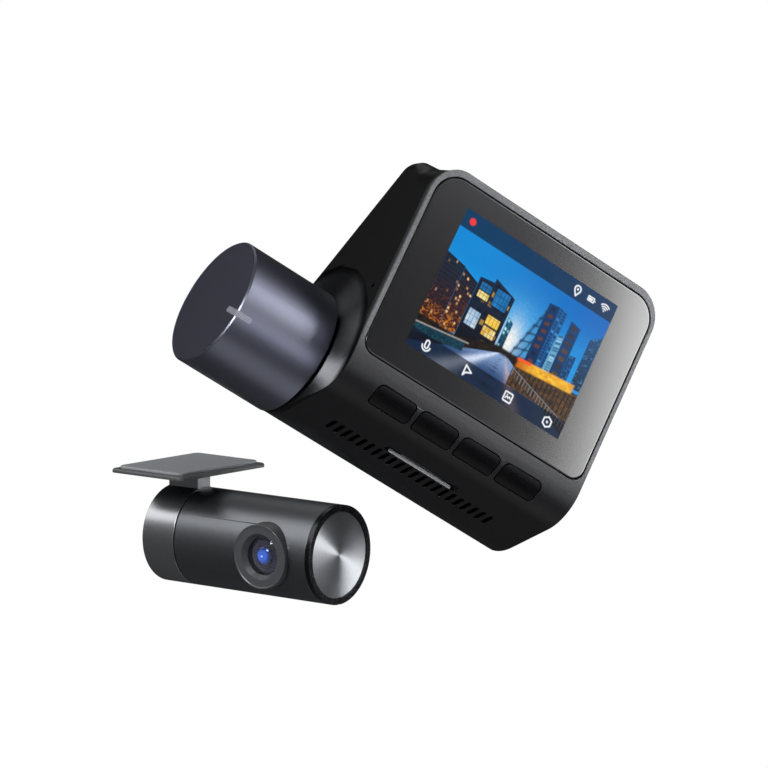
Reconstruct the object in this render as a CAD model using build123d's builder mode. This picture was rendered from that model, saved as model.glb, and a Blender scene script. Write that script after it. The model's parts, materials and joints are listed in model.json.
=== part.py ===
"""Dash camera set: a front unit with a turning lens drum and a small barrel-shaped rear camera.

Millimetres and degrees.  +Z is up, +X is to the right as the driver sees the screen, and the screen
faces -Y.  The origin is the centre of the outer face of the front unit's adhesive pad, where it meets
the windscreen.
"""
import os
from math import cos, radians, sin, tan

from build123d import *

os.makedirs("parts", exist_ok=True)

# ---------------------------------------------------------------- front unit: body
body_width = 59.6          # left side face to right side face
body_top = 10.4            # top edge above the pad's centre
face_depth = 24.2          # pad's centre forward to the plane of the display glass
axis_drop = 34.5           # pad's centre down to the drum's turning axis
axis_depth = 21.4          # display glass back to the drum's turning axis
windscreen_rake = 32.5     # slope of the back face from upright
chin_slope = 22.0          # slope of the underside from level
nose_radius = 13.4         # rounding of the body about the drum's axis
cover_wall = 2.0           # thickness of the front cover and of the housing's top and back
side_wall = 1.6            # thickness of the housing's side walls
corner_radius = 7.0        # upper corners, seen from the driver's seat
front_corner_radius = 9.0  # rounding between screen face and underside
back_corner_radius = 8.0   # rounding at the foot of the sloping back
top_corner_radius = 3.0    # rounding between the sloping back and the top
brow_start = 8.0           # display glass back to where the top begins to rise
brow_start_corner = 5.5    # upper corners there, seen from the driver's seat
brow_rise = 0.8            # how much higher the top is at its back edge
brow_corner = 3.0          # upper corners at the back edge
rim_round = 0.5            # softened edge at the top of the screen face
cover_depth = 2.6          # screen face back to the cover's parting line
skirt_reach = 4.5          # how far the cover wraps under, past the drum's axis

# ---------------------------------------------------------------- front unit: display
glass_width = 57.3
glass_height = 41.1
glass_thickness = 1.1
glass_top_radius = 5.6
glass_bottom_radius = 2.7
glass_below_top = 1.8      # top edge of the body down to the top edge of the glass
glass_gap = 0.2            # all round, between glass and cover
display_width = 46.6
display_height = 36.4
display_thickness = 2.2
display_lift = 0.5         # centre of the display above the centre of the glass
display_gap = 0.3
backlight_thickness = 1.1

# ---------------------------------------------------------------- front unit: lens drum
drum_radius = 13.6
drum_length = 21.2
drum_wall = 1.2
bulkhead = 1.5             # end wall of the drum beside the body
drum_gap = 0.6             # between the drum and the collar
collar_rise = 0.9          # height of the flared collar on the side face
collar_spread = 7.8        # how far the collar's flare reaches over the side face
edge_break = 0.3           # chamfer on the drum's edges
cap_thickness = 1.4
cap_ledge = 0.75           # width of the seat that carries the end cap
mark_angle = 14.0          # position mark, degrees below level
mark_width = 1.3
mark_length = 3.7          # along the drum
mark_end_length = 5.0      # across its end
mark_rise = 0.15
fit_gap = 0.05             # between pieces that are pressed or glued together

lens_ring_radius = 8.2
lens_ring_reach = 14.6     # turning axis to the rim of the lens ring
lens_ring_foot = 10.4      # turning axis to the inner end of the lens ring
lens_radius = 4.4
lens_edge = 0.8            # thickness of the front lens at its rim
lens_crown = 0.9           # height of the front lens's bulge
lens_sink = 1.7            # rim of the ring down to the edge of the front lens
lens_barrel_radius = 5.2
lens_barrel_length = 8.6
sensor_board_size = 13.0
board_thickness = 1.0

shaft_radius = 5.0
shaft_bore = 3.2
shaft_flange_radius = 9.0
shaft_flange = 1.2
running_gap = 0.05         # radial and axial, in every turning fit
boss_radius = 8.5
boss_height = 0.6
washer_radius = 8.0
washer_thickness = 0.5
retainer_radius = 7.6
retainer_thickness = 1.0
groove_depth = 0.8
shaft_tail = 1.2           # shaft beyond its retaining ring
shaft_screw_radius = 0.9
shaft_screw_head = 1.6
shaft_screw_head_height = 0.8
shaft_screw_ring = 7.1     # radius of the circle of screws
shaft_screw_bite = 1.2     # screw's length in the drum's end wall
screw_count = 3

# ---------------------------------------------------------------- front unit: keys, vents, card
button_width = 9.6
button_height = 4.6
button_pitch = 11.0
button_count = 4
button_shift = 0.1         # centre of the row from the middle of the body
button_travel = 0.4
button_arc_angle = 30.0    # where the buttons sit on the lower front rounding
button_gap = 0.2
button_upper_radius = 1.3
button_lower_radius = 0.7
button_depth = 3.2         # outer surface to the back of the button's lip
lip_height = 5.8
lip_thickness = 0.4
switch_clearance = 0.05    # left between lip and switch when fully pressed
switch_width = 4.2
switch_depth = 3.0
switch_height = 0.8
plunger_radius = 1.0
plunger_height = 0.25
key_board_width = 52.0
key_board_height = 5.4
key_boss_radius = 1.5
key_boss_inset = 1.6       # boss centre from the end of the key board

vent_count = 22
vent_pitch = 1.96
vent_width = 0.95
vent_length = 3.6
vent_depth = 13.2          # display glass back to the middle of the vents
vent_shift = -0.6          # centre of the row from the middle of the body

card_width = 11.0
card_thickness = 0.8
card_length = 15.0
card_depth = 10.6          # display glass back to the middle of the card
card_stand = 0.5           # how far the card stands out of the pocket's floor
card_gap = 0.3
pocket_depth = 10.35       # display glass back to the middle of the pocket, on the surface
pocket_width = 18.7
pocket_height = 1.8
pocket_sink = 1.0
pocket_radius = 0.4
socket_wall = 0.6
socket_height = 14.6

# ---------------------------------------------------------------- front unit: electronics
main_board_width = 55.0
main_board_top_gap = 2.3   # below the inside of the housing's top
main_board_bottom_gap = 1.2
main_board_depth = 8.1     # display glass back to the front of the board
main_board_thickness = 1.2
main_board_corner = 3.0
post_radius = 1.9
post_pilot = 0.7
post_side_gap = 1.9        # centre of a post from the edge of the board
post_end_gap = 9.5
board_screw_radius = 0.7
board_screw_head = 1.4
board_screw_head_height = 0.9
board_screw_length = 5.0
processor_size = 14.0
processor_height = 1.3
thermal_pad_height = 0.5
heat_sink_width = 24.0
heat_sink_height = 14.0
heat_sink_base = 1.0
heat_sink_fin_height = 2.2
heat_sink_fin = 0.9
heat_sink_fins = 7
heat_sink_lift = 4.7       # above the middle of the board
battery_width = 34.0
battery_height = 17.0
battery_thickness = 4.6
battery_drop = 8.0         # down the sloping back, from behind the pad's centre
speaker_width = 13.0
speaker_height = 6.6
speaker_thickness = 3.0
speaker_x = 16.5
speaker_start = 0.1        # forward of the underside's end
microphone_depth = 5.1     # display glass back to the microphone hole
microphone_drop = 18.9     # pad's centre down to the microphone hole
microphone_hole = 0.45
microphone_size = 3.2
microphone_thickness = 1.2
antenna_width = 22.0
antenna_height = 5.0
antenna_thickness = 0.8

power_port_width = 8.94    # opening of the power socket
power_port_height = 3.26
power_port_z = -14.0
camera_port_width = 5.4
camera_port_height = 2.6
camera_port_z = -25.8
port_shell = 0.3
port_length = 7.3
port_tongue = 0.7
port_recess = 0.4          # sockets lie this far inside the side face

# ---------------------------------------------------------------- front unit: mount
pad_thickness = 0.8
pad_margin = 0.9           # adhesive pad inside the mount plate's edge
mount_plate_thickness = 2.4
mount_plate_width = 46.0
mount_plate_height = 19.0
plate_corner = 2.5
mount_screw_spacing = 40.0
mount_screw_radius = 1.0
mount_screw_head = 1.9
mount_screw_length = 5.2
screw_head_angle = 90

# ---------------------------------------------------------------- rear camera
rear_radius = 10.5
rear_length = 45.0
rear_wall = 1.6
rear_bulkhead = 1.5
rear_ring_length = 8.5     # fixed section that carries the mount
rear_gap = 0.3             # seam between the fixed section and the barrel
rear_centre = (-3.1, 35.6, -63.8)
rear_heading = -66.25      # direction of the barrel about Z, from +X
rear_pitch = -5.75         # the disc end is this much higher than level
rear_roll = 32.0           # turn of the mount about the barrel's axis
rear_lens_turn = 1.7       # the barrel is turned this much further in its mount
rear_trim_length = 1.2
rear_trim_width = 1.35
rear_notch = 0.6
rear_disc_sink = 0.25
rear_disc_thickness = 0.9
rear_lens_from_end = 12.3  # lens axis back from the disc end
rear_hood_radius = 6.8
rear_hood_reach = 11.5     # barrel's axis to the rim of the lens hood
rear_hood_foot = 6.6
rear_lens_radius = 4.0
rear_lens_sink = 1.3
rear_lens_barrel_radius = 4.6
rear_lens_barrel_length = 6.4
rear_sensor_size = 9.0
rear_board_length = 24.0
rear_board_width = 12.5
rear_board_drop = 5.0      # below the barrel's axis
rear_board_from_end = 18.0 # board's middle back from the disc end
rear_pivot_radius = 3.5
rear_pivot_bore = 2.2
rear_pivot_flange_radius = 6.6
rear_screw_ring = 5.1      # radius of the circle of screws
rear_washer_radius = 6.4
rear_retainer_radius = 5.8
rear_neck_length = 8.0     # along the barrel
rear_neck_width = 4.2
rear_neck_from_end = 4.25  # neck's middle from the barrel's plain end
rear_plate_length = 19.8   # along the barrel
rear_plate_width = 28.6
rear_plate_height = 13.8   # barrel's axis to the underside of the plate
rear_plate_thickness = 0.9
rear_plate_from_end = 4.0  # plate's middle from the barrel's plain end
rear_plate_corner = 1.4
rear_pad_margin = 1.2
rear_pad_thickness = 0.6
rear_port_width = 5.4
rear_port_height = 2.6
rear_port_length = 4.0
rear_pivot_tail = 0.8


def finish(part, name):
    """Label one sub-part and write its STEP file."""
    part.label = name
    export_step(part, f"parts/{name}.step")


# ---------------------------------------------------------------- datums of the front unit
half_width = body_width / 2
face_y = -face_depth
axis_y = face_y + axis_depth
axis_z = -axis_drop
back_y = axis_y + nose_radius
mount_stack = pad_thickness + mount_plate_thickness
rake_cos = cos(radians(windscreen_rake))
rake_sin = sin(radians(windscreen_rake))
slope_y = -mount_stack * rake_cos          # point of the sloping back under the pad's centre
slope_z = -mount_stack * rake_sin
chin_cos = cos(radians(chin_slope))
chin_sin = sin(radians(chin_slope))
chin_tan = tan(radians(chin_slope))
chin_end_y = axis_y - nose_radius * chin_sin
chin_end_z = axis_z - nose_radius * chin_cos
brow_top = body_top + brow_rise
brow_back_y = slope_y - (brow_top - slope_z) * rake_sin / rake_cos
brow_end = brow_back_y - face_y - top_corner_radius * tan(radians((90 - windscreen_rake) / 2))
back_foot_z = slope_z - (back_y - slope_y) * rake_cos / rake_sin
glass_z = body_top - glass_below_top - glass_height / 2
glass_bottom = glass_z - glass_height / 2
display_z = glass_z + display_lift
inner_half = half_width - side_wall
inner_top = body_top - cover_wall
beyond = body_width                        # longer than any cut needs to be


def chin_z(y):
    """Height of the sloping underside at depth y."""
    return chin_end_z + (chin_end_y - y) * chin_tan


def along_chin(depth):
    """Distance on the underside, forward of its end, of a point this far behind the glass."""
    return (chin_end_y - face_y - depth) / chin_cos


FACE = Plane(origin=(0, face_y, 0), x_dir=(1, 0, 0), z_dir=(0, -1, 0))
SIDE = Plane.YZ
AXIS = Plane(origin=(0, axis_y, axis_z), x_dir=(0, 1, 0), z_dir=(1, 0, 0))
AXIS_SECTION = Plane(origin=(0, axis_y, axis_z), x_dir=(1, 0, 0), z_dir=(0, -1, 0))
SLOPE = Plane(origin=(0, slope_y, slope_z), x_dir=(-1, 0, 0), z_dir=(0, rake_cos, rake_sin))
CHIN = Plane(origin=(0, chin_end_y, chin_end_z), x_dir=(1, 0, 0), z_dir=(0, -chin_sin, -chin_cos))
drum_axis = Axis((0, axis_y, axis_z), (1, 0, 0))

# ---------------------------------------------------------------- outer shape of the body
outline_radii = [rim_round, front_corner_radius, nose_radius, back_corner_radius, top_corner_radius]


def side_outline(inset, top=body_top):
    """Side view of the body under a level top, all edges moved inwards by inset."""
    corners = [
        (face_y, top),
        (face_y, chin_z(face_y)),
        (back_y, chin_z(back_y)),
        (back_y, back_foot_z),
        (slope_y - (top - slope_z) * rake_sin / rake_cos, top),
    ]
    with BuildSketch(SIDE) as outline:
        with BuildLine():
            FilletPolyline(*corners, radius=outline_radii, close=True)
        make_face()
        if inset:
            offset(amount=-inset, kind=Kind.INTERSECTION)
    return outline.sketch


def glass_outline(grow):
    """Front view of the display glass, all edges moved outwards by grow."""
    with BuildSketch(FACE) as outline:
        with Locations((0, glass_z)):
            Rectangle(glass_width, glass_height)
        fillet(vertices().group_by(Axis.Y)[-1], radius=glass_top_radius)
        fillet(vertices().group_by(Axis.Y)[0], radius=glass_bottom_radius)
        if grow:
            offset(amount=grow)
    return outline.sketch


def disc(plane, start, end, radius, bore=0.0):
    """Round plate or ring between two distances along a plane's normal."""
    with BuildPart() as body:
        with BuildSketch(plane.offset(start)):
            Circle(radius)
            if bore:
                Circle(bore, mode=Mode.SUBTRACT)
        extrude(amount=end - start)
    return body.part


def slab(plane, start, end, width, height, x=0.0, y=0.0):
    """Rectangular block between two distances along a plane's normal."""
    with BuildPart() as body:
        with BuildSketch(plane.offset(start)):
            with Locations((x, y)):
                Rectangle(width, height)
        extrude(amount=end - start)
    return body.part


def front_outline(depth, top, corner):
    """Front view at one depth behind the glass: straight sides under two rounded upper corners."""
    with BuildSketch(FACE.offset(-depth)) as outline:
        with Locations((0, top - beyond)):
            Rectangle(body_width, 2 * beyond)
        fillet(vertices().group_by(Axis.Y)[-1], radius=corner)
    return outline.sketch


# The screen end has a level top.  Behind it the upper corners tighten and the top rises to a brow.
with BuildPart() as screen_end:
    extrude(side_outline(0), amount=half_width, both=True)
    extrude(front_outline(0, body_top, corner_radius), amount=-cover_depth, mode=Mode.INTERSECT)

with BuildPart() as envelope:
    cover_end = front_outline(cover_depth, body_top, corner_radius)
    brow_foot = front_outline(brow_start, body_top, brow_start_corner)
    brow_edge = front_outline(brow_end, brow_top, brow_corner)
    loft([cover_end, brow_foot], ruled=True)
    loft([brow_foot, brow_edge], ruled=True)
    extrude(brow_edge, amount=-beyond)
    extrude(side_outline(0, brow_top), amount=half_width, both=True, mode=Mode.INTERSECT)
    add(screen_end.part)

# ---------------------------------------------------------------- front cover
key_cos = cos(radians(button_arc_angle))
key_sin = sin(radians(button_arc_angle))
key_arc_z = chin_z(face_y) + front_corner_radius * tan(radians((90 - chin_slope) / 2))
KEYS = Plane(
    origin=(
        button_shift,
        face_y + front_corner_radius * (1 - key_cos),
        key_arc_z - front_corner_radius * key_sin,
    ),
    x_dir=(1, 0, 0),
    z_dir=(0, -key_cos, -key_sin),
)
key_board_depth = button_depth + button_travel + switch_clearance + plunger_height + switch_height
main_board_top = inner_top - main_board_top_gap
board_inner_chin = chin_z(face_y + main_board_depth) + cover_wall / chin_cos
main_board_bottom = board_inner_chin + main_board_bottom_gap
main_board_height = main_board_top - main_board_bottom
main_board_z = (main_board_top + main_board_bottom) / 2
post_span_x = main_board_width - 2 * post_side_gap
post_span_z = main_board_height - 2 * post_end_gap
card_y = face_y + card_depth
card_bottom = chin_z(card_y) + pocket_sink / chin_cos - card_stand
board_back = face_y + main_board_depth + main_board_thickness


def button_outline(x, grow):
    """One button's window shape on the key plane: rounder at the top than at the bottom."""
    with BuildSketch(KEYS.offset(button_depth)) as outline:
        with Locations((x, 0)):
            Rectangle(button_width, button_height)
        fillet(vertices().group_by(Axis.Y)[-1], radius=button_upper_radius)
        fillet(vertices().group_by(Axis.Y)[0], radius=button_lower_radius)
        if grow:
            offset(amount=grow)
    return outline.sketch


button_places = [(i - (button_count - 1) / 2) * button_pitch for i in range(button_count)]

with BuildPart() as cavity:
    extrude(side_outline(cover_wall), amount=inner_half, both=True)
    with BuildSketch(FACE):
        with Locations((0, inner_top - beyond)):
            Rectangle(2 * inner_half, 2 * beyond)
        fillet(vertices().group_by(Axis.Y)[-1], radius=corner_radius - side_wall)
    extrude(amount=-beyond, mode=Mode.INTERSECT)

with BuildPart() as cover_blank:
    add(envelope.part)
    extrude(side_outline(cover_wall), amount=beyond, both=True, mode=Mode.SUBTRACT)
    with BuildSketch(SIDE):
        with BuildLine():
            Polyline(
                (face_y - beyond, beyond),
                (face_y + cover_depth, beyond),
                (face_y + cover_depth, glass_bottom),
                (axis_y + skirt_reach, glass_bottom),
                (axis_y + skirt_reach, -2 * beyond),
                (face_y - beyond, -2 * beyond),
                close=True,
            )
        make_face()
    extrude(amount=beyond, both=True, mode=Mode.INTERSECT)

with BuildPart() as front_cover:
    add(cover_blank.part)
    extrude(glass_outline(glass_gap), amount=-glass_thickness, mode=Mode.SUBTRACT)
    with BuildSketch(FACE):
        with Locations((0, display_z)):
            Rectangle(display_width + 2 * display_gap, display_height + 2 * display_gap)
    extrude(amount=-cover_depth, mode=Mode.SUBTRACT)
    for place in button_places:
        extrude(button_outline(place, button_gap), amount=-2 * button_depth, mode=Mode.SUBTRACT)
    with BuildSketch(CHIN):
        with Locations((vent_shift, along_chin(vent_depth))):
            with GridLocations(vent_pitch, 0, vent_count, 1):
                SlotOverall(vent_length, vent_width, rotation=90)
    extrude(amount=-2 * cover_wall, mode=Mode.SUBTRACT)
    with BuildSketch(CHIN):
        with Locations((0, along_chin(pocket_depth))):
            RectangleRounded(pocket_width, pocket_height, pocket_radius)
    extrude(amount=-pocket_sink, mode=Mode.SUBTRACT)
    with BuildSketch(Plane.XY.offset(card_bottom)):
        with Locations((0, card_y)):
            Rectangle(card_width + 2 * card_gap, card_thickness + 2 * card_gap)
    extrude(amount=2 * cover_wall, mode=Mode.SUBTRACT)
    with BuildSketch(FACE.offset(-cover_wall)):
        with Locations((0, main_board_z)):
            with GridLocations(post_span_x, post_span_z, 2, 2):
                Circle(post_radius)
    extrude(amount=cover_wall - main_board_depth)
    with BuildSketch(FACE.offset(-main_board_depth)):
        with Locations((0, main_board_z)):
            with GridLocations(post_span_x, post_span_z, 2, 2):
                Circle(post_pilot)
    extrude(amount=board_screw_length - main_board_thickness, mode=Mode.SUBTRACT)
    with BuildSketch(KEYS.offset(-cover_wall)):
        with GridLocations(key_board_width - 2 * key_boss_inset, 0, 2, 1):
            Circle(key_boss_radius)
    extrude(amount=cover_wall - key_board_depth)
finish(front_cover.part, "front_cover")

# ---------------------------------------------------------------- housing with the drum's collar
collar_x = -half_width - collar_rise
drum_right = collar_x - drum_gap
drum_left = drum_right - drum_length
wall_inside = -inner_half
boss_end = wall_inside + boss_height
port_margin = port_shell + fit_gap
side_ports = {
    "power_socket": (power_port_z, power_port_width, power_port_height),
    "rear_camera_socket": (camera_port_z, camera_port_width, camera_port_height),
}


def port_y(height):
    """Depth of a socket's middle when its shell lies on the back of the main board."""
    return board_back + port_margin + height / 2


with BuildPart() as collar:
    with BuildSketch(AXIS_SECTION):
        with BuildLine():
            outer_rim = (-half_width, drum_radius + collar_spread)
            inner_rim = (collar_x, drum_radius)
            TangentArc(outer_rim, inner_rim, tangent=(0, -1))
            Polyline(inner_rim, (collar_x, 0), (-half_width, 0), outer_rim)
        make_face()
    revolve(axis=drum_axis)
    extrude(side_outline(0), amount=-beyond, mode=Mode.INTERSECT)

with BuildPart() as housing:
    add(envelope.part)
    add(cover_blank.part, mode=Mode.SUBTRACT)
    add(cavity.part, mode=Mode.SUBTRACT)
    add(collar.part)
    add(disc(AXIS, -half_width, boss_end, boss_radius))
    with BuildSketch(AXIS.offset(collar_x)):
        Circle(shaft_radius + running_gap)
    extrude(amount=beyond / 2, mode=Mode.SUBTRACT)
    with BuildSketch(SIDE.offset(-half_width)):
        with Locations((face_y + microphone_depth, -microphone_drop)):
            Circle(microphone_hole)
    extrude(amount=2 * side_wall, mode=Mode.SUBTRACT)
    with BuildSketch(SIDE.offset(half_width)):
        for port_z, width, height in side_ports.values():
            with Locations((port_y(height), port_z)):
                SlotOverall(width + 2 * port_margin, height + 2 * port_margin, rotation=90)
    extrude(amount=-2 * side_wall, mode=Mode.SUBTRACT)
    with BuildSketch(SLOPE):
        with GridLocations(mount_screw_spacing, 0, 2, 1):
            Circle(mount_screw_radius)
    extrude(amount=-cover_wall, mode=Mode.SUBTRACT)
finish(housing.part, "housing")

# ---------------------------------------------------------------- display
with BuildPart() as display_glass:
    extrude(glass_outline(0), amount=-glass_thickness)
finish(display_glass.part, "display_glass")

display_back = glass_thickness + display_thickness
backlight_back = display_back + backlight_thickness

with BuildPart() as display_panel:
    add(slab(FACE, -glass_thickness, -display_back, display_width, display_height, 0, display_z))
finish(display_panel.part, "display_panel")

with BuildPart() as backlight:
    add(slab(FACE, -display_back, -backlight_back, display_width, display_height, 0, display_z))
finish(backlight.part, "backlight")

# ---------------------------------------------------------------- drum
cap_radius = drum_radius - drum_wall + cap_ledge
drum_middle = drum_right - drum_length / 2
SIGHT = Plane(origin=(drum_middle, axis_y, axis_z), x_dir=(1, 0, 0), z_dir=(0, 1, 0))

with BuildPart() as drum_shell:
    add(disc(AXIS, drum_left, drum_right, drum_radius))
    chamfer(edges().filter_by(GeomType.CIRCLE), length=edge_break)
    add(disc(AXIS, drum_left, drum_right - bulkhead, drum_radius - drum_wall), mode=Mode.SUBTRACT)
    add(disc(AXIS, drum_left, drum_left + cap_thickness, cap_radius), mode=Mode.SUBTRACT)
    add(disc(AXIS, drum_right - bulkhead, drum_right, shaft_radius + fit_gap), mode=Mode.SUBTRACT)
    add(disc(SIGHT, drum_radius / 2, beyond, lens_ring_radius + fit_gap), mode=Mode.SUBTRACT)
    with BuildSketch(AXIS.offset(drum_right - bulkhead)):
        with PolarLocations(shaft_screw_ring, screw_count):
            Circle(shaft_screw_radius + fit_gap)
    extrude(amount=shaft_screw_bite, mode=Mode.SUBTRACT)
finish(drum_shell.part, "drum_shell")

with BuildPart() as drum_end_cap:
    add(disc(AXIS, drum_left, drum_left + cap_thickness, cap_radius - fit_gap))
finish(drum_end_cap.part, "drum_end_cap")

# The position mark starts on the end cap and is folded over the drum's edge.
mark_tilt = radians(mark_angle)
MARK = Plane(origin=AXIS.origin, x_dir=(1, 0, 0), z_dir=(0, -cos(mark_tilt), -sin(mark_tilt)))

with BuildPart() as drum_mark:
    with BuildSketch(MARK.offset(drum_radius - mark_rise)):
        with Locations((drum_left - mark_rise, 0)):
            SlotOverall(2 * (mark_length + mark_rise), mark_width)
    extrude(amount=2 * mark_rise)
    with BuildSketch(AXIS.offset(drum_left - mark_rise)):
        with Locations(Rotation(0, 0, 180 + mark_angle)):
            with Locations((drum_radius + mark_rise, 0)):
                SlotOverall(2 * (mark_end_length + mark_rise), mark_width)
    extrude(amount=mark_rise)
    rim_cover = disc(AXIS, drum_left - mark_rise, drum_right, drum_radius + mark_rise)
    add(rim_cover, mode=Mode.INTERSECT)
    add(disc(AXIS, drum_left, drum_right, drum_radius), mode=Mode.SUBTRACT)
finish(drum_mark.part, "drum_mark")


def lens_crystal(plane, edge_back, radius, edge, crown):
    """Front lens: a short cylinder under a shallow spherical crown, along a plane's normal."""
    with BuildPart() as body:
        section = Plane(origin=plane.origin, x_dir=plane.x_dir, z_dir=-plane.y_dir)
        with BuildSketch(section):
            with BuildLine():
                Polyline((0, edge_back + edge + crown), (0, edge_back), (radius, edge_back))
                Line((radius, edge_back), (radius, edge_back + edge))
                sphere = (radius**2 + crown**2) / (2 * crown)
                RadiusArc((0, edge_back + edge + crown), (radius, edge_back + edge), sphere)
            make_face()
        revolve(axis=Axis(plane.origin, plane.z_dir))
    return body.part


def lens_surround(plane, foot, rim, radius, bore, sink):
    """Lens ring whose bore opens out towards its rim, so that nothing shades a wide view."""
    with BuildPart() as body:
        add(disc(plane, foot, rim, radius, bore))
        rim_edges = edges().group_by(Axis(plane.origin, plane.z_dir))[-1]
        chamfer(rim_edges.sort_by(SortBy.RADIUS)[-1:], edge_break)
        with BuildSketch(plane.offset(rim - sink)):
            Circle(bore)
        with BuildSketch(plane.offset(rim)):
            Circle(bore + sink)
        loft(mode=Mode.SUBTRACT)
    return body.part


lens_back = lens_ring_reach - lens_sink - lens_edge
lens_barrel_foot = lens_ring_foot - lens_barrel_length

with BuildPart() as drum_lens_ring:
    lens_bore = lens_radius + fit_gap
    add(lens_surround(SIGHT, lens_ring_foot, lens_ring_reach, lens_ring_radius, lens_bore, lens_sink))
finish(drum_lens_ring.part, "drum_lens_ring")

with BuildPart() as drum_lens:
    add(lens_crystal(SIGHT, lens_back, lens_radius, lens_edge, lens_crown))
finish(drum_lens.part, "drum_lens")

with BuildPart() as drum_lens_barrel:
    add(disc(SIGHT, lens_barrel_foot, lens_ring_foot, lens_barrel_radius))
finish(drum_lens_barrel.part, "drum_lens_barrel")

with BuildPart() as drum_sensor_board:
    sensor_back = lens_barrel_foot - board_thickness
    add(slab(SIGHT, sensor_back, lens_barrel_foot, sensor_board_size, sensor_board_size))
finish(drum_sensor_board.part, "drum_sensor_board")


# ---------------------------------------------------------------- turning joint of the drum
def pivot_tube(plane, flange_start, radius, bore, flange_radius, groove_start):
    """Flanged tube with the neck that a retaining ring clips round, along a plane's normal."""
    with BuildPart() as body:
        add(disc(plane, flange_start, flange_start + shaft_flange, flange_radius, bore))
        add(disc(plane, flange_start, groove_start, radius, bore))
        add(disc(plane, groove_start, groove_start + retainer_thickness, radius - groove_depth, bore))
    return body.part


def ring_of_screws(plane, seat, circle_radius):
    """Pan-head screws on a circle: heads behind the seat, shanks running along the normal."""
    with BuildPart() as body:
        with BuildSketch(plane.offset(seat)):
            with PolarLocations(circle_radius, screw_count):
                Circle(shaft_screw_radius)
        extrude(amount=shaft_flange + shaft_screw_bite)
        with BuildSketch(plane.offset(seat)):
            with PolarLocations(circle_radius, screw_count):
                Circle(shaft_screw_head)
        extrude(amount=-shaft_screw_head_height)
    return body.part


flange_seat = drum_right - bulkhead - shaft_flange
washer_start = boss_end + running_gap
retainer_start = washer_start + washer_thickness
retainer_end = retainer_start + retainer_thickness

with BuildPart() as drum_shaft:
    add(pivot_tube(AXIS, flange_seat, shaft_radius, shaft_bore, shaft_flange_radius, retainer_start))
    add(disc(AXIS, retainer_end, retainer_end + shaft_tail, shaft_radius, shaft_bore))
    with BuildSketch(AXIS.offset(flange_seat)):
        with PolarLocations(shaft_screw_ring, screw_count):
            Circle(shaft_screw_radius + fit_gap)
    extrude(amount=shaft_flange, mode=Mode.SUBTRACT)
finish(drum_shaft.part, "drum_shaft")

with BuildPart() as friction_washer:
    add(disc(AXIS, washer_start, retainer_start, washer_radius, shaft_radius + fit_gap))
finish(friction_washer.part, "friction_washer")

with BuildPart() as shaft_retainer:
    add(disc(AXIS, retainer_start, retainer_end, retainer_radius, shaft_radius - groove_depth))
finish(shaft_retainer.part, "shaft_retainer")

with BuildPart() as shaft_screws:
    add(ring_of_screws(AXIS, flange_seat, shaft_screw_ring))
finish(shaft_screws.part, "shaft_screws")

# ---------------------------------------------------------------- keys
for number, place in enumerate(button_places, start=1):
    with BuildPart() as button:
        extrude(button_outline(place, 0), amount=-2 * button_depth)
        add(envelope.part, mode=Mode.INTERSECT)
        add(slab(KEYS, -button_depth, lip_thickness - button_depth, button_width, lip_height, place))
    finish(button.part, f"button_{number}")

with BuildPart() as key_board:
    key_board_back = key_board_depth + board_thickness
    add(slab(KEYS, -key_board_back, -key_board_depth, key_board_width, key_board_height))
finish(key_board.part, "key_board")

with BuildPart() as key_switches:
    with BuildSketch(KEYS.offset(-key_board_depth)):
        with GridLocations(button_pitch, 0, button_count, 1):
            Rectangle(switch_width, switch_depth)
    extrude(amount=switch_height)
    with BuildSketch(KEYS.offset(switch_height - key_board_depth)):
        with GridLocations(button_pitch, 0, button_count, 1):
            Circle(plunger_radius)
    extrude(amount=plunger_height)
finish(key_switches.part, "key_switches")

# ---------------------------------------------------------------- main board and what it carries
board_back_depth = main_board_depth + main_board_thickness

with BuildPart() as main_board:
    with BuildSketch(FACE.offset(-board_back_depth)):
        with Locations((0, main_board_z)):
            RectangleRounded(main_board_width, main_board_height, main_board_corner)
    extrude(amount=main_board_thickness)
    with BuildSketch(FACE.offset(-main_board_depth)):
        with Locations((0, main_board_z)):
            with GridLocations(post_span_x, post_span_z, 2, 2):
                Circle(board_screw_radius + fit_gap)
    extrude(amount=-main_board_thickness, mode=Mode.SUBTRACT)
finish(main_board.part, "main_board")

with BuildPart() as board_screws:
    with BuildSketch(FACE.offset(-board_back_depth)):
        with Locations((0, main_board_z)):
            with GridLocations(post_span_x, post_span_z, 2, 2):
                Circle(board_screw_radius)
    extrude(amount=board_screw_length)
    with BuildSketch(FACE.offset(-board_back_depth)):
        with Locations((0, main_board_z)):
            with GridLocations(post_span_x, post_span_z, 2, 2):
                Circle(board_screw_head)
    extrude(amount=-board_screw_head_height)
finish(board_screws.part, "board_screws")

chip_z = main_board_z + heat_sink_lift
processor_back = board_back_depth + processor_height
thermal_back = processor_back + thermal_pad_height
sink_base_back = thermal_back + heat_sink_base

with BuildPart() as processor:
    add(slab(FACE, -board_back_depth, -processor_back, processor_size, processor_size, 0, chip_z))
finish(processor.part, "processor")

with BuildPart() as thermal_pad:
    add(slab(FACE, -processor_back, -thermal_back, processor_size, processor_size, 0, chip_z))
finish(thermal_pad.part, "thermal_pad")

with BuildPart() as heat_sink:
    add(slab(FACE, -thermal_back, -sink_base_back, heat_sink_width, heat_sink_height, 0, chip_z))
    fin_pitch = (heat_sink_width - heat_sink_fin) / (heat_sink_fins - 1)
    with BuildSketch(FACE.offset(-sink_base_back)):
        with Locations((0, chip_z)):
            with GridLocations(fin_pitch, 0, heat_sink_fins, 1):
                Rectangle(heat_sink_fin, heat_sink_height)
    extrude(amount=-heat_sink_fin_height)
finish(heat_sink.part, "heat_sink")

with BuildPart() as battery:
    with BuildSketch(SLOPE.offset(-cover_wall)):
        with Locations((0, -battery_drop)):
            RectangleRounded(battery_width, battery_height, cover_wall)
    extrude(amount=-battery_thickness)
finish(battery.part, "battery")

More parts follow.
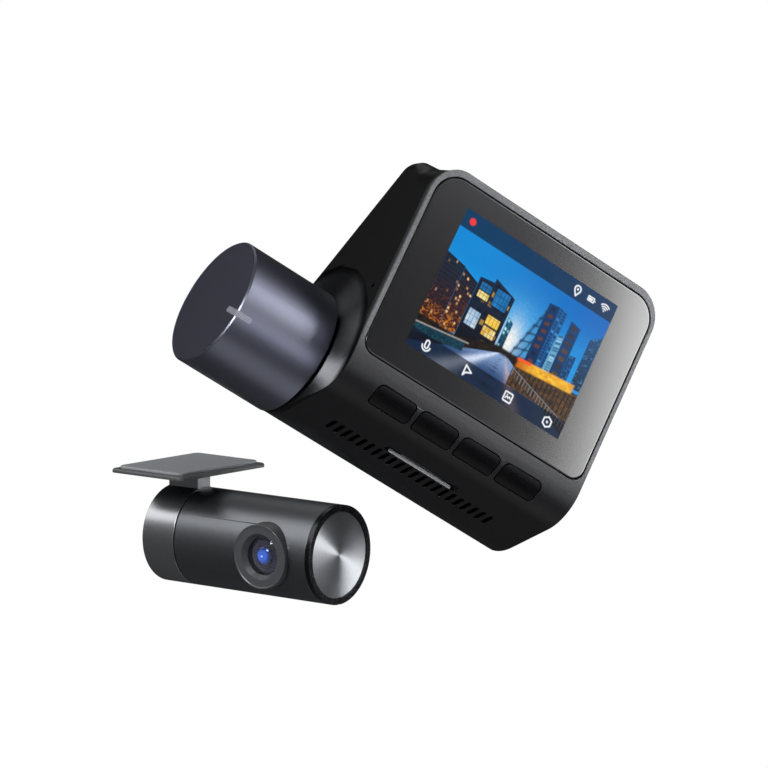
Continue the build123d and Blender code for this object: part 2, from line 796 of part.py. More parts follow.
with BuildPart() as speaker:
    with BuildSketch(CHIN.offset(-cover_wall)):
        with Locations((speaker_x, speaker_start + speaker_height / 2)):
            RectangleRounded(speaker_width, speaker_height, pocket_radius)
    extrude(amount=-speaker_thickness)
finish(speaker.part, "speaker")

with BuildPart() as microphone:
    with BuildSketch(SIDE.offset(-inner_half)):
        with Locations((face_y + microphone_depth, -microphone_drop)):
            Rectangle(microphone_size, microphone_size)
    extrude(amount=microphone_thickness)
finish(microphone.part, "microphone")

with BuildPart() as wifi_antenna:
    with BuildSketch(Plane.XY.offset(inner_top)):
        with Locations((0, face_y + cover_depth + antenna_height)):
            Rectangle(antenna_width, antenna_height)
    extrude(amount=-antenna_thickness)
finish(wifi_antenna.part, "wifi_antenna")

# ---------------------------------------------------------------- memory card and its socket
socket_bottom = chin_z(board_back) + cover_wall / chin_cos + card_gap
socket_depth = card_y + card_thickness / 2 + card_gap + socket_wall - board_back
with BuildPart() as card_socket:
    with BuildSketch(Plane.XY.offset(socket_bottom)):
        with Locations((0, board_back + socket_depth / 2)):
            Rectangle(card_width + 2 * (card_gap + socket_wall), socket_depth)
    extrude(amount=socket_height)
    with BuildSketch(Plane.XY.offset(socket_bottom)):
        with Locations((0, card_y)):
            Rectangle(card_width + 2 * card_gap, card_thickness + 2 * card_gap)
    extrude(amount=socket_height - socket_wall, mode=Mode.SUBTRACT)
finish(card_socket.part, "card_socket")

with BuildPart() as memory_card:
    with BuildSketch(Plane.XY.offset(card_bottom)):
        with Locations((0, card_y)):
            Rectangle(card_width, card_thickness)
    extrude(amount=card_length)
    chamfer(edges().filter_by(Axis.Y), length=edge_break)
finish(memory_card.part, "memory_card")


# ---------------------------------------------------------------- sockets in the side face
def socket_shell(plane, mouth, length, x, y, width, height):
    """Plug socket: an open shell with a tongue, running inwards from its mouth."""
    with BuildPart() as body:
        with BuildSketch(plane.offset(mouth)):
            with Locations((x, y)):
                SlotOverall(width + 2 * port_shell, height + 2 * port_shell, rotation=90)
        extrude(amount=-length)
        with BuildSketch(plane.offset(mouth)):
            with Locations((x, y)):
                SlotOverall(width, height, rotation=90)
        extrude(amount=-(length - port_shell), mode=Mode.SUBTRACT)
        add(slab(plane, mouth - length, mouth - length / 4, port_tongue, width - height, x, y))
    return body.part


port_mouth = half_width - port_recess
for name, (port_z, width, height) in side_ports.items():
    with BuildPart() as side_port:
        add(socket_shell(SIDE, port_mouth, port_length, port_y(height), port_z, width, height))
    finish(side_port.part, name)


# ---------------------------------------------------------------- windscreen mount
with BuildPart() as mount_plate:
    with BuildSketch(SLOPE):
        RectangleRounded(mount_plate_width, mount_plate_height, plate_corner)
    extrude(amount=mount_plate_thickness)
    with Locations(SLOPE.offset(mount_plate_thickness)):
        with GridLocations(mount_screw_spacing, 0, 2, 1):
            CounterSinkHole(
                mount_screw_radius, mount_screw_head + fit_gap, counter_sink_angle=screw_head_angle
            )
finish(mount_plate.part, "mount_plate")

head_depth = mount_screw_head - mount_screw_radius + fit_gap
with BuildPart() as mount_screws:
    with BuildSketch(SLOPE.offset(mount_plate_thickness)):
        with GridLocations(mount_screw_spacing, 0, 2, 1):
            Circle(mount_screw_radius - fit_gap)
    extrude(amount=-mount_screw_length)
    with BuildSketch(SLOPE.offset(mount_plate_thickness)):
        with GridLocations(mount_screw_spacing, 0, 2, 1):
            Circle(mount_screw_head)
    extrude(amount=-head_depth, taper=screw_head_angle / 2)
finish(mount_screws.part, "mount_screws")

with BuildPart() as adhesive_pad:
    with BuildSketch(SLOPE.offset(mount_plate_thickness)):
        RectangleRounded(
            mount_plate_width - 2 * pad_margin,
            mount_plate_height - 2 * pad_margin,
            plate_corner - pad_margin,
        )
    extrude(amount=pad_thickness)
finish(adhesive_pad.part, "adhesive_pad")

# ---------------------------------------------------------------- datums of the rear camera
rear_axis = Vector(1, 0, 0).rotate(Axis.Y, rear_pitch).rotate(Axis.Z, rear_heading)
rear_up = (
    Vector(0, 0, 1).rotate(Axis.X, rear_roll).rotate(Axis.Y, rear_pitch).rotate(Axis.Z, rear_heading)
)
rear_sight = rear_axis.cross(rear_up)
lens_sight = rear_sight.rotate(Axis((0, 0, 0), rear_axis), rear_lens_turn)
rear_end = rear_length / 2
rear_middle = Vector(*rear_centre)
rear_lens_place = rear_middle + rear_axis * (rear_end - rear_lens_from_end)
BARREL = Plane(origin=rear_middle, x_dir=rear_sight, z_dir=rear_axis)
BARREL_BACK = Plane(origin=rear_middle, x_dir=rear_sight, z_dir=-rear_axis)
REAR_TOP = Plane(origin=rear_middle, x_dir=rear_axis, z_dir=rear_up)
REAR_SIGHT = Plane(origin=rear_lens_place, x_dir=rear_axis, z_dir=lens_sight)
rear_bore = rear_radius - rear_wall
ring_end = -rear_end + rear_ring_length
barrel_start = ring_end + rear_gap
barrel_end = rear_end - rear_trim_length

# ---------------------------------------------------------------- rear camera: fixed section
back_cap_radius = rear_bore + cap_ledge
with BuildPart() as rear_ring:
    add(disc(BARREL, -rear_end, ring_end, rear_radius))
    add(disc(BARREL, -rear_end, ring_end - rear_bulkhead, rear_bore), mode=Mode.SUBTRACT)
    add(disc(BARREL, -rear_end, -rear_end + cap_thickness, back_cap_radius), mode=Mode.SUBTRACT)
    add(
        disc(BARREL, ring_end - rear_bulkhead, ring_end, rear_pivot_radius + running_gap),
        mode=Mode.SUBTRACT,
    )
    add(
        slab(
            REAR_TOP,
            rear_radius - rear_wall / 2,
            rear_plate_height,
            rear_neck_length,
            rear_neck_width,
            rear_neck_from_end - rear_end,
        )
    )
finish(rear_ring.part, "rear_ring")

with BuildPart() as rear_back_cap:
    add(disc(BARREL, -rear_end, -rear_end + cap_thickness, back_cap_radius - fit_gap))
    with BuildSketch(BARREL.offset(-rear_end)):
        SlotOverall(rear_port_width + 2 * port_margin, rear_port_height + 2 * port_margin, rotation=90)
    extrude(amount=cap_thickness, mode=Mode.SUBTRACT)
finish(rear_back_cap.part, "rear_back_cap")

with BuildPart() as rear_cable_socket:
    mouth = rear_end - port_recess
    add(socket_shell(BARREL_BACK, mouth, rear_port_length, 0, 0, rear_port_width, rear_port_height))
finish(rear_cable_socket.part, "rear_cable_socket")

with BuildPart() as rear_mount_plate:
    with BuildSketch(REAR_TOP.offset(rear_plate_height)):
        with Locations((rear_plate_from_end - rear_end, 0)):
            RectangleRounded(rear_plate_length, rear_plate_width, rear_plate_corner)
    extrude(amount=rear_plate_thickness)
    chamfer(edges().group_by(Axis(REAR_TOP.origin, rear_up))[-1], length=edge_break)
finish(rear_mount_plate.part, "rear_mount_plate")

with BuildPart() as rear_adhesive_pad:
    with BuildSketch(REAR_TOP.offset(rear_plate_height + rear_plate_thickness)):
        with Locations((rear_plate_from_end - rear_end, 0)):
            RectangleRounded(
                rear_plate_length - 2 * rear_pad_margin,
                rear_plate_width - 2 * rear_pad_margin,
                rear_plate_corner,
            )
    extrude(amount=rear_pad_thickness)
    fillet(edges().group_by(Axis(REAR_TOP.origin, rear_up))[-1], radius=edge_break)
finish(rear_adhesive_pad.part, "rear_adhesive_pad")

# ---------------------------------------------------------------- rear camera: turning barrel
with BuildPart() as rear_barrel:
    add(disc(BARREL, barrel_start, barrel_end, rear_radius))
    add(disc(BARREL, barrel_start + rear_bulkhead, barrel_end, rear_bore), mode=Mode.SUBTRACT)
    add(
        disc(BARREL, barrel_start, barrel_start + rear_bulkhead, rear_pivot_radius + fit_gap),
        mode=Mode.SUBTRACT,
    )
    add(disc(REAR_SIGHT, 0, beyond, rear_hood_radius + fit_gap), mode=Mode.SUBTRACT)
    with BuildSketch(BARREL.offset(barrel_start + rear_bulkhead)):
        with PolarLocations(rear_screw_ring, screw_count):
            Circle(shaft_screw_radius + fit_gap)
    extrude(amount=-shaft_screw_bite, mode=Mode.SUBTRACT)
finish(rear_barrel.part, "rear_barrel")

with BuildPart() as rear_trim_ring:
    add(disc(BARREL, barrel_end, rear_end, rear_radius, rear_radius - rear_trim_width))
    with BuildSketch(BARREL.offset(rear_end)):
        with GridLocations(0, 2 * rear_radius - rear_trim_width, 1, 2):
            Rectangle(rear_notch, 2 * rear_trim_width)
    extrude(amount=-rear_disc_sink, mode=Mode.SUBTRACT)
finish(rear_trim_ring.part, "rear_trim_ring")

with BuildPart() as rear_end_disc:
    disc_front = rear_end - rear_disc_sink
    disc_radius = rear_radius - rear_trim_width - fit_gap
    add(disc(BARREL, disc_front - rear_disc_thickness, disc_front, disc_radius))
finish(rear_end_disc.part, "rear_end_disc")

rear_lens_back = rear_hood_reach - rear_lens_sink - lens_edge
rear_lens_foot = rear_hood_foot - rear_lens_barrel_length

with BuildPart() as rear_lens_ring:
    rear_lens_bore = rear_lens_radius + fit_gap
    add(
        lens_surround(
            REAR_SIGHT, rear_hood_foot, rear_hood_reach, rear_hood_radius, rear_lens_bore, rear_lens_sink
        )
    )
finish(rear_lens_ring.part, "rear_lens_ring")

with BuildPart() as rear_lens:
    add(lens_crystal(REAR_SIGHT, rear_lens_back, rear_lens_radius, lens_edge, lens_crown))
finish(rear_lens.part, "rear_lens")

with BuildPart() as rear_lens_barrel:
    add(disc(REAR_SIGHT, rear_lens_foot, rear_hood_foot, rear_lens_barrel_radius))
finish(rear_lens_barrel.part, "rear_lens_barrel")

with BuildPart() as rear_sensor_board:
    rear_sensor_back = rear_lens_foot - board_thickness
    add(slab(REAR_SIGHT, rear_sensor_back, rear_lens_foot, rear_sensor_size, rear_sensor_size))
finish(rear_sensor_board.part, "rear_sensor_board")

with BuildPart() as rear_main_board:
    with BuildSketch(REAR_TOP.offset(-rear_board_drop)):
        with Locations((rear_end - rear_board_from_end, 0)):
            Rectangle(rear_board_length, rear_board_width)
    extrude(amount=-board_thickness)
finish(rear_main_board.part, "rear_main_board")

# ---------------------------------------------------------------- turning joint of the rear camera
rear_flange_seat = -(barrel_start + rear_bulkhead + shaft_flange)
rear_washer_start = rear_end - rear_ring_length + rear_bulkhead + running_gap
rear_retainer_start = rear_washer_start + washer_thickness
rear_retainer_end = rear_retainer_start + retainer_thickness

with BuildPart() as rear_pivot:
    add(
        pivot_tube(
            BARREL_BACK,
            rear_flange_seat,
            rear_pivot_radius,
            rear_pivot_bore,
            rear_pivot_flange_radius,
            rear_retainer_start,
        )
    )
    rear_tail_end = rear_retainer_end + rear_pivot_tail
    add(disc(BARREL_BACK, rear_retainer_end, rear_tail_end, rear_pivot_radius, rear_pivot_bore))
    with BuildSketch(BARREL_BACK.offset(rear_flange_seat)):
        with PolarLocations(rear_screw_ring, screw_count):
            Circle(shaft_screw_radius + fit_gap)
    extrude(amount=shaft_flange, mode=Mode.SUBTRACT)
finish(rear_pivot.part, "rear_pivot")

with BuildPart() as rear_friction_washer:
    rear_washer_bore = rear_pivot_radius + fit_gap
    add(disc(BARREL_BACK, rear_washer_start, rear_retainer_start, rear_washer_radius, rear_washer_bore))
finish(rear_friction_washer.part, "rear_friction_washer")

with BuildPart() as rear_retainer:
    neck_radius = rear_pivot_radius - groove_depth
    add(disc(BARREL_BACK, rear_retainer_start, rear_retainer_end, rear_retainer_radius, neck_radius))
finish(rear_retainer.part, "rear_retainer")

with BuildPart() as rear_pivot_screws:
    add(ring_of_screws(BARREL_BACK, rear_flange_seat, rear_screw_ring))
finish(rear_pivot_screws.part, "rear_pivot_screws")
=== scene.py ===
# %% [markdown]
# # A dash camera with a turning lens drum, and its rear camera
# The CAD model gives every piece its true size and place. This lesson gives the pieces their looks:
# softened edges, a lit screen, coated lenses, and a finish for each plastic, metal and foam.
# Everything is in metres, in the CAD model's own frame: X runs to the right of the screen,
# Y forward through the windscreen and Z up.

import json
import math

import bmesh
import bpy
import numpy as np
from mathutils import Matrix, Vector


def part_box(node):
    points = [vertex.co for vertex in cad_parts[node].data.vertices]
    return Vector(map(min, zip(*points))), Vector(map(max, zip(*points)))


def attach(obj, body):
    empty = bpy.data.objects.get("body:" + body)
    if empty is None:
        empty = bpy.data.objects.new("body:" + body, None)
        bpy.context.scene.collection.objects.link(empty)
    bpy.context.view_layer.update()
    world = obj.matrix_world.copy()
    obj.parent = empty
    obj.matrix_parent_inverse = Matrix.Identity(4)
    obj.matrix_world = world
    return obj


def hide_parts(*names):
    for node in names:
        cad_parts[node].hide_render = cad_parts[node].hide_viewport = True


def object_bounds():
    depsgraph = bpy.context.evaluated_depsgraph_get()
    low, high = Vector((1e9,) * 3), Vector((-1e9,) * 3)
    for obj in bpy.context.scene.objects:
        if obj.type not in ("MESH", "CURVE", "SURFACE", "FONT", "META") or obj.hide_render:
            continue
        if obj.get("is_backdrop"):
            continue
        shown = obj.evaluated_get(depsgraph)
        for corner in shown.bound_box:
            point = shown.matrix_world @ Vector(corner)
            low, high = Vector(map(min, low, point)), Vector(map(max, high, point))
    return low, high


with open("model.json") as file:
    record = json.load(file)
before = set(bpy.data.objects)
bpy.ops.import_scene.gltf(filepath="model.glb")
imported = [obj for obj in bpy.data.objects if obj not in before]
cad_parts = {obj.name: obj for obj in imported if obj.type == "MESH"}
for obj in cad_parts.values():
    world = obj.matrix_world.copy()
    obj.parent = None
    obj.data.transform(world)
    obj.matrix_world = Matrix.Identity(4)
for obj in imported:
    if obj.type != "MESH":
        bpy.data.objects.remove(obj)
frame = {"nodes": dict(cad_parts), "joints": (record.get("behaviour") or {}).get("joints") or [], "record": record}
cad_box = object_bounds()
mm = 0.001
print("CAD nodes:", len(frame["nodes"]), "box:", [round(v / mm, 1) for corner in cad_box for v in corner])

# %% [markdown]
# ## Where things are
# A turned piece is simplest to describe by its own axis: how far along it, and how far out from it.
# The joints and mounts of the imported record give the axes, and the CAD meshes give the sizes, so no
# size has to be repeated by hand and each new piece fits the one that it stands for.


# %% Axes and a ruler for CAD nodes
def unit(vector):
    """The vector divided by its own length."""
    vector = np.asarray(vector, float)
    return vector / np.linalg.norm(vector)


def read(items, field, width, kind=float):
    """One field of all vertices, faces or face corners of a mesh, one row each."""
    flat = np.empty(len(items) * width, kind)
    items.foreach_get(field, flat)
    return flat.reshape(-1, width) if width > 1 else flat


def corners(node):
    """All vertex places of a CAD node, one row each."""
    return read(frame["nodes"][node].data.vertices, "co", 3)


def ends(node):
    """Lowest and highest corner of a CAD node's box."""
    return (np.array(corner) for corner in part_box(node))


def centre(node):
    """Middle of a CAD node's box."""
    low, high = ends(node)
    return (low + high) / 2


def ruler(node, origin, axis):
    """Lowest and highest distance along an axis, then nearest and farthest distance out from it."""
    offset = corners(node) - origin
    along = offset @ axis
    out = np.linalg.norm(offset - along[:, None] * axis, axis=1)
    return along.min(), along.max(), out.min(), out.max()


def in_scene(name, data):
    """A new object that shows some data, linked to the scene."""
    item = bpy.data.objects.new(name, data)
    bpy.context.scene.collection.objects.link(item)
    return item


joints = {joint["name"]: joint for joint in frame["joints"]}
drum_centre = np.array(joints["drum_turn"]["pos_m"], float)
drum_axis = unit(joints["drum_turn"]["axis"])
rear_centre = np.array(joints["rear_barrel_turn"]["pos_m"], float)
rear_axis = unit(joints["rear_barrel_turn"]["axis"])
drum_sight = np.array([0.0, 1.0, 0.0])
from_axis = centre("rear_lens_barrel") - rear_centre
rear_sight_along = from_axis @ rear_axis
rear_sight = unit(from_axis - rear_sight_along * rear_axis)
drum_eye = np.array([centre("drum_lens_barrel")[0], *drum_centre[1:]])
rear_eye = rear_centre + rear_sight_along * rear_axis
print("drum radius:", round(ruler("drum_shell", drum_centre, drum_axis)[3] / mm, 2), "mm")
print("rear barrel radius:", round(ruler("rear_barrel", rear_centre, rear_axis)[3] / mm, 2), "mm")
print("rear camera looks towards", rear_sight.round(3))

# %% [markdown]
# ## Camera
# A long lens from below and from the driver's left keeps the screen's sides nearly parallel. The
# camera is turned about its own line of sight, so the level top of the unit slopes in the picture.

# %% Camera
camera_place = Vector((-0.3570, -0.7129, -0.2349))
camera_aim = Vector((-0.0144, -0.0111, -0.0327))
camera_roll = math.radians(25.03)
toward = (camera_aim - camera_place).normalized()
level = toward.cross(Vector((0, 0, 1))).normalized()
upright = level.cross(toward)
right = level * math.cos(camera_roll) + upright * math.sin(camera_roll)
camera_data = bpy.data.cameras.new("camera")
camera_data.sensor_width = 36.0
camera_data.lens = 187.5
camera_data.clip_start = 0.01
camera = in_scene("camera", camera_data)
attitude = Matrix((right, right.cross(toward), -toward)).transposed().to_4x4()
camera.matrix_world = Matrix.Translation(camera_place) @ attitude
bpy.context.scene.camera = camera
bpy.context.scene.view_settings.view_transform = "Standard"
print("camera distance:", round((camera_aim - camera_place).length, 3), "m")

# %% [markdown]
# ## Light
# Dark satin plastic and metal show mostly what they mirror, so the light is planned by direction.
# Each soft box stands where one surface should mirror it, and nothing stands where a surface should
# stay black. The room itself is dim, and the camera sees it as white.


# %% Soft boxes
def linear(hex_colour):
    """An sRGB hex colour as the linear numbers that shaders and lamps use, with an alpha of 1."""
    parts = np.array([int(hex_colour[i : i + 2], 16) for i in (1, 3, 5)]) / 255
    return (*np.where(parts <= 0.04045, parts / 12.92, ((parts + 0.055) / 1.055) ** 2.4), 1.0)


def soft_box(name, facing, direction, distance, width, height, brightness, tint="#ffffff"):
    """A rectangular lamp at a distance from a point, turned to it. Its power is its brightness
    times pi times its area, so a bigger box isn't a brighter one in a mirror."""
    data = bpy.data.lights.new(name, "AREA")
    data.shape = "RECTANGLE"
    data.size, data.size_y = width, height
    data.energy = brightness * math.pi * width * height
    data.color = linear(tint)[:3]
    away = Vector(direction).normalized()
    lamp = in_scene(name, data)
    place = Matrix.Translation(Vector(facing) + away * distance)
    lamp.matrix_world = place @ away.to_track_quat("Z", "Y").to_matrix().to_4x4()
    lamp.visible_camera = False


body_middle, screen_middle = centre("housing"), centre("display_glass")
# Three boxes in front lay soft bands along the drum.
soft_box("box_high_in_front", drum_centre, (0.42, -0.62, 0.66), 0.75, 0.70, 0.58, 0.9, "#f4f5ff")
soft_box("box_low_in_front", drum_centre, (0.42, -0.87, -0.17), 0.60, 0.40, 0.20, 2.6, "#f4f5ff")
soft_box("box_below_in_front", drum_centre, (0.42, -0.22, -0.87), 0.60, 0.40, 0.30, 0.8)
# The box on the right faces the screen; the two on the left light the rim and the collar.
soft_box("box_right", screen_middle, (0.680, -0.587, 0.438), 0.40, 0.24, 0.25, 11.0)
soft_box("box_left_behind", body_middle, (-0.86, 0.42, 0.16), 0.60, 0.34, 0.36, 3.0)
soft_box("box_left", body_middle, (-0.93, -0.30, -0.10), 0.60, 0.16, 0.22, 30.0)
# Two strips draw thin lines on rounded edges, and a weak box keeps the top from going black.
soft_box("strip_left", body_middle, (-0.60, -0.76, 0.25), 0.60, 0.08, 0.40, 2.2)
soft_box("strip_right", body_middle, (0.90, 0.36, 0.25), 0.60, 0.12, 0.40, 4.0)
soft_box("box_above", body_middle, (-0.30, 0.45, 0.90), 0.70, 0.50, 0.40, 0.8)

# %% Room and floor
def add_node(tree, kind, settings=None, links=None):
    """Adds one shader node. settings are its own fields or its inputs' values, by name or number,
    and links join its inputs to other nodes' outputs."""
    node = tree.nodes.new(kind)
    for key, value in (settings or {}).items():
        if isinstance(key, str) and hasattr(node, key):
            setattr(node, key, value)
        else:
            node.inputs[key].default_value = value
    for key, source in (links or {}).items():
        tree.links.new(source, node.inputs[key])
    return node


room = bpy.data.worlds.new("room")
room.use_nodes = True
tree = room.node_tree
tree.nodes.clear()
direction = add_node(tree, "ShaderNodeTexCoord").outputs["Generated"]
behind = {"operation": "DOT_PRODUCT", 1: (0.0, 0.857, 0.514)}
share_behind = add_node(tree, "ShaderNodeVectorMath", behind, {0: direction}).outputs["Value"]
glow_in_front, glow_behind = 0.16, 0.03
glows = {3: glow_in_front, 4: glow_behind}
glow = add_node(tree, "ShaderNodeMapRange", glows, {0: share_behind}).outputs[0]
dim = add_node(tree, "ShaderNodeBackground", {"Color": linear("#ececf2")}, {"Strength": glow})
white = add_node(tree, "ShaderNodeBackground", {"Color": (1, 1, 1, 1), "Strength": 1.0})
seen = add_node(tree, "ShaderNodeLightPath").outputs["Is Camera Ray"]
both = add_node(tree, "ShaderNodeMixShader", links={0: seen, 1: dim.outputs[0], 2: white.outputs[0]})
add_node(tree, "ShaderNodeOutputWorld", links={"Surface": both.outputs[0]})
bpy.context.scene.world = room

floor_mesh = bpy.data.meshes.new("floor")
floor_reach, floor_drop, floor_lines = 6.0, 1.20, 9
reach = np.linspace(-floor_reach, floor_reach, floor_lines)
floor_x, floor_y = np.meshgrid(reach, reach, indexing="ij")
floor_places = np.stack([floor_x, floor_y, np.full_like(floor_x, -floor_drop)], -1).reshape(-1, 3)
cell = np.arange(floor_lines**2).reshape(floor_lines, floor_lines)
cells = np.stack([cell[:-1, :-1], cell[1:, :-1], cell[1:, 1:], cell[:-1, 1:]], -1).reshape(-1, 4)
floor_mesh.from_pydata(floor_places, [], cells.tolist())
floor = in_scene("floor", floor_mesh)
floor.visible_glossy = floor.visible_diffuse = False
floor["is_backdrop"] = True
print("floor", round(floor_drop / mm), "mm below the frame's origin")

# %% [markdown]
# ## Softened edges
# No moulded or turned edge is perfectly sharp: a rounding of a tenth of a millimetre catches a thin
# line of light, and that line is much of what makes a thing look real. A CAD mesh has none. Each
# visible CAD piece is copied, its loose triangles are welded and its flat parts joined to one face,
# and a Bevel modifier rounds what is sharper than 30 degrees. The copy then stands for the CAD node.
# A width is smaller where short edges meet at a corner, as on the shell and the keys: a wide rounding
# would overshoot there and leave a spike.


# %% A softened copy of a CAD piece
crease, same_plane, same_place = math.radians(30), math.radians(0.5), 0.5e-6


def soften(node, body, width, steps=2):
    """A copy of a CAD node's mesh with its edges rounded by width. Vertices at one place are merged,
    and faces less than half a degree apart become one."""
    mesh = frame["nodes"][node].data.copy()
    shape = bmesh.new()
    shape.from_mesh(mesh)
    bmesh.ops.remove_doubles(shape, verts=shape.verts, dist=same_place)
    bmesh.ops.dissolve_limit(shape, angle_limit=same_plane, verts=shape.verts, edges=shape.edges)
    shape.to_mesh(mesh)
    shape.free()
    if "custom_normal" in mesh.attributes:
        mesh.attributes.remove(mesh.attributes["custom_normal"])
    mesh.shade_smooth()
    mesh.set_sharp_from_angle(angle=crease)
    piece = in_scene(node + "_softened", mesh)
    edge = piece.modifiers.new("rounded_edges", "BEVEL")
    edge.width, edge.segments = width, steps
    edge.limit_method, edge.angle_limit = "ANGLE", crease
    edge.harden_normals = True
    edge.use_clamp_overlap = False
    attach(piece, body)
    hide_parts(node)
    return piece


slot_of = {part["node"]: part["material_slot"] for part in frame["record"]["subparts"]}
body_of = {node: body for body, nodes in frame["record"]["behaviour"]["bodies"].items() for node in nodes}
edge_widths = {"front_cover": 0.12, "housing": 0.03, "drum_shell": 0.05, "drum_mark": 0.05}
edge_widths |= {"adhesive_pad": 0.15, "rear_back_cap": 0.15}
edge_widths |= {f"button_{key}": 0.05 for key in (1, 2, 3, 4)}
edge_widths |= {"mount_plate": 0.20, "rear_ring": 0.12, "rear_barrel": 0.10, "rear_trim_ring": 0.10}
edge_widths |= {"rear_mount_plate": 0.15, "rear_adhesive_pad": 0.10}
pieces = {node: soften(node, body_of[node], width * mm) for node, width in edge_widths.items()}
print("softened:", {name: len(piece.data.polygons) for name, piece in pieces.items()})

# %% [markdown]
# ## Finishes
# Every finish is one Principled shader with a few pattern nodes. The patterns read Object
# coordinates, which here are real metres, so a noise of scale 1 / grain has grains that are grain
# metres across. The grain drives colour, roughness and bumps together, as it does on a real surface.


# %% A grained finish
def grained(name, dark, light, grain, depth, smooth, rough, **sockets):
    """A finish whose grain, given in millimetres, mixes two colours and two roughnesses and raises
    the surface by depth, in millimetres too. Further shader inputs are named with underscores and
    are the same all over."""
    material = bpy.data.materials.new(name)
    material.use_nodes = True
    tree = material.node_tree
    tree.nodes.clear()
    place = add_node(tree, "ShaderNodeTexCoord").outputs["Object"]
    grains = {"Scale": 1 / (grain * mm), "Detail": 2.0}
    noise = add_node(tree, "ShaderNodeTexNoise", grains, {"Vector": place}).outputs["Fac"]
    share = add_node(tree, "ShaderNodeMapRange", {1: 0.3, 2: 0.7}, {0: noise}).outputs[0]
    shades = {"name": "colour", "data_type": "RGBA", 6: linear(dark), 7: linear(light)}
    colour = add_node(tree, "ShaderNodeMix", shades, {0: share}).outputs[2]
    gloss = add_node(tree, "ShaderNodeMapRange", {3: smooth, 4: rough}, {0: share}).outputs[0]
    raised = add_node(tree, "ShaderNodeBump", {"Distance": depth * mm}, {"Height": noise}).outputs[0]
    constants = {key.replace("_", " "): value for key, value in sockets.items()}
    links = {"Base Color": colour, "Roughness": gloss, "Normal": raised}
    shader = add_node(tree, "ShaderNodeBsdfPrincipled", {"name": "shader", **constants}, links)
    add_node(tree, "ShaderNodeOutputMaterial", links={"Surface": shader.outputs[0]})
    return material


# %% [markdown]
# ### Plastics
# The front cover is moulded ABS with a spark-eroded texture. The real grain is about 0.1 mm; it is
# drawn at 0.22 mm so that it shows. Each row of the table is one material slot: its finish, darker
# and lighter colour, grain and depth in millimetres, roughness from and to, IOR and specular level.

# %% Plastic finishes
plastics = (
    # The spark texture breaks a soft box's mirror into fine sparkle.
    ("front_cover_plastic", "spark_textured_abs", "#08080a", "#121214", 0.22, 0.018, 0.38, 0.50, 1.55, 0.25),
    # A finer matt: nearly black, with a soft sheen and no sparkle.
    ("housing_plastic", "matt_moulded_abs", "#050506", "#09090a", 0.30, 0.004, 0.30, 0.38, 1.46, 0.15),
    # Satin keys: the darkest plastic, with a smoother sheen.
    ("button_plastic", "satin_moulded_abs", "#040405", "#070708", 0.40, 0.003, 0.26, 0.34, 1.50, 0.12),
    # A tough blend with a dull, even, grey-black skin.
    ("mount_plastic", "matt_moulded_pc_abs", "#101012", "#1a1a1c", 0.35, 0.010, 0.48, 0.60, 1.55, 0.5),
    # Polycarbonate, matt and a little livelier than the mount.
    ("rear_cap_plastic", "matt_moulded_pc", "#111113", "#19191b", 0.30, 0.008, 0.45, 0.58, 1.58, 0.5),
    # Plain mid-grey with a slight orange peel.
    ("rear_plate_plastic", "grey_moulded_abs", "#3a3b3d", "#4a4c4e", 0.40, 0.008, 0.42, 0.55, 1.53, 0.5),
    # Polished: mirrors sharply, like dark glass.
    ("lens_ring_plastic", "polished_black_pc", "#070708", "#0d0d0f", 2.0, 0.002, 0.10, 0.18, 1.58, 0.5),
    # Nylon: dull and slightly uneven.
    ("switch_plastic", "moulded_nylon", "#202022", "#2e2e30", 0.30, 0.010, 0.45, 0.60, 1.53, 0.5),
    # Acetal: milky white and waxy.
    ("washer_plastic", "natural_acetal", "#d9d5c6", "#e8e5da", 0.60, 0.004, 0.30, 0.42, 1.48, 0.5),
    # A cheap hidden moulding: coarse and dry.
    ("speaker_plastic", "moulded_speaker_frame", "#131314", "#232325", 0.50, 0.020, 0.50, 0.70, 1.53, 0.5),
    # Epoxy full of ground quartz: very fine, dry grey-black.
    ("chip_plastic", "moulded_epoxy", "#161617", "#212123", 0.15, 0.006, 0.50, 0.65, 1.55, 0.5),
    # Smooth and faintly blue, so the card stands off from its slot.
    ("memory_card_plastic", "moulded_card_plastic", "#1a1b1e", "#26272b", 0.35, 0.004, 0.35, 0.48, 1.53, 0.5),
)
finishes = {}
for slot_name, *look, ior, level in plastics:
    finishes[slot_name] = grained(*look, IOR=ior, Specular_IOR_Level=level)
print("plastic finishes:", len(finishes))

# %% [markdown]
# The front cover's flat rim faces a soft box, and its sheen there is painted into the colour: a paler,
# speckled grey that fades into the black of the chin below and as the surface rolls back. The finish
# mixes in that lighter grey by depth behind the face and by height above the chin.

# %% Painted sheen on the front cover's rim
tree = finishes["front_cover_plastic"].node_tree
place = add_node(tree, "ShaderNodeTexCoord").outputs["Object"]
apart = add_node(tree, "ShaderNodeSeparateXYZ", links={0: place}).outputs
face_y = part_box("front_cover")[0][1]
depth_share = {1: face_y + 0.05 * mm, 2: face_y + 0.8 * mm, 3: 1.0, 4: 0.0}
on_rim = add_node(tree, "ShaderNodeMapRange", depth_share, {0: apart["Y"]}).outputs[0]
chin_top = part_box("display_glass")[0][2]
height_share = {1: chin_top - 1.0 * mm, 2: chin_top + 5.0 * mm, 3: 0.10, 4: 1.0}
above_chin = add_node(tree, "ShaderNodeMapRange", height_share, {0: apart["Z"]}).outputs[0]
specks = {"Scale": 1 / (0.25 * mm), "Detail": 1.0}
speck = add_node(tree, "ShaderNodeTexNoise", specks, {"Vector": place}).outputs["Fac"]
speck_share = {1: 0.35, 2: 0.65, 3: 0.45, 4: 1.0}
painted_sheen_speckle = add_node(tree, "ShaderNodeMapRange", speck_share, {0: speck}).outputs[0]
times = {"operation": "MULTIPLY"}
painted_sheen_mask = add_node(tree, "ShaderNodeMath", times, {0: on_rim, 1: above_chin}).outputs[0]
painted_sheen_share = add_node(tree, "ShaderNodeMath", times, {0: painted_sheen_mask, 1: painted_sheen_speckle}).outputs[0]
# Painted sheen: a speckled lighter grey on the rim, fading towards the chin.
grey = {"data_type": "RGBA", 7: linear("#6a6b6e")}
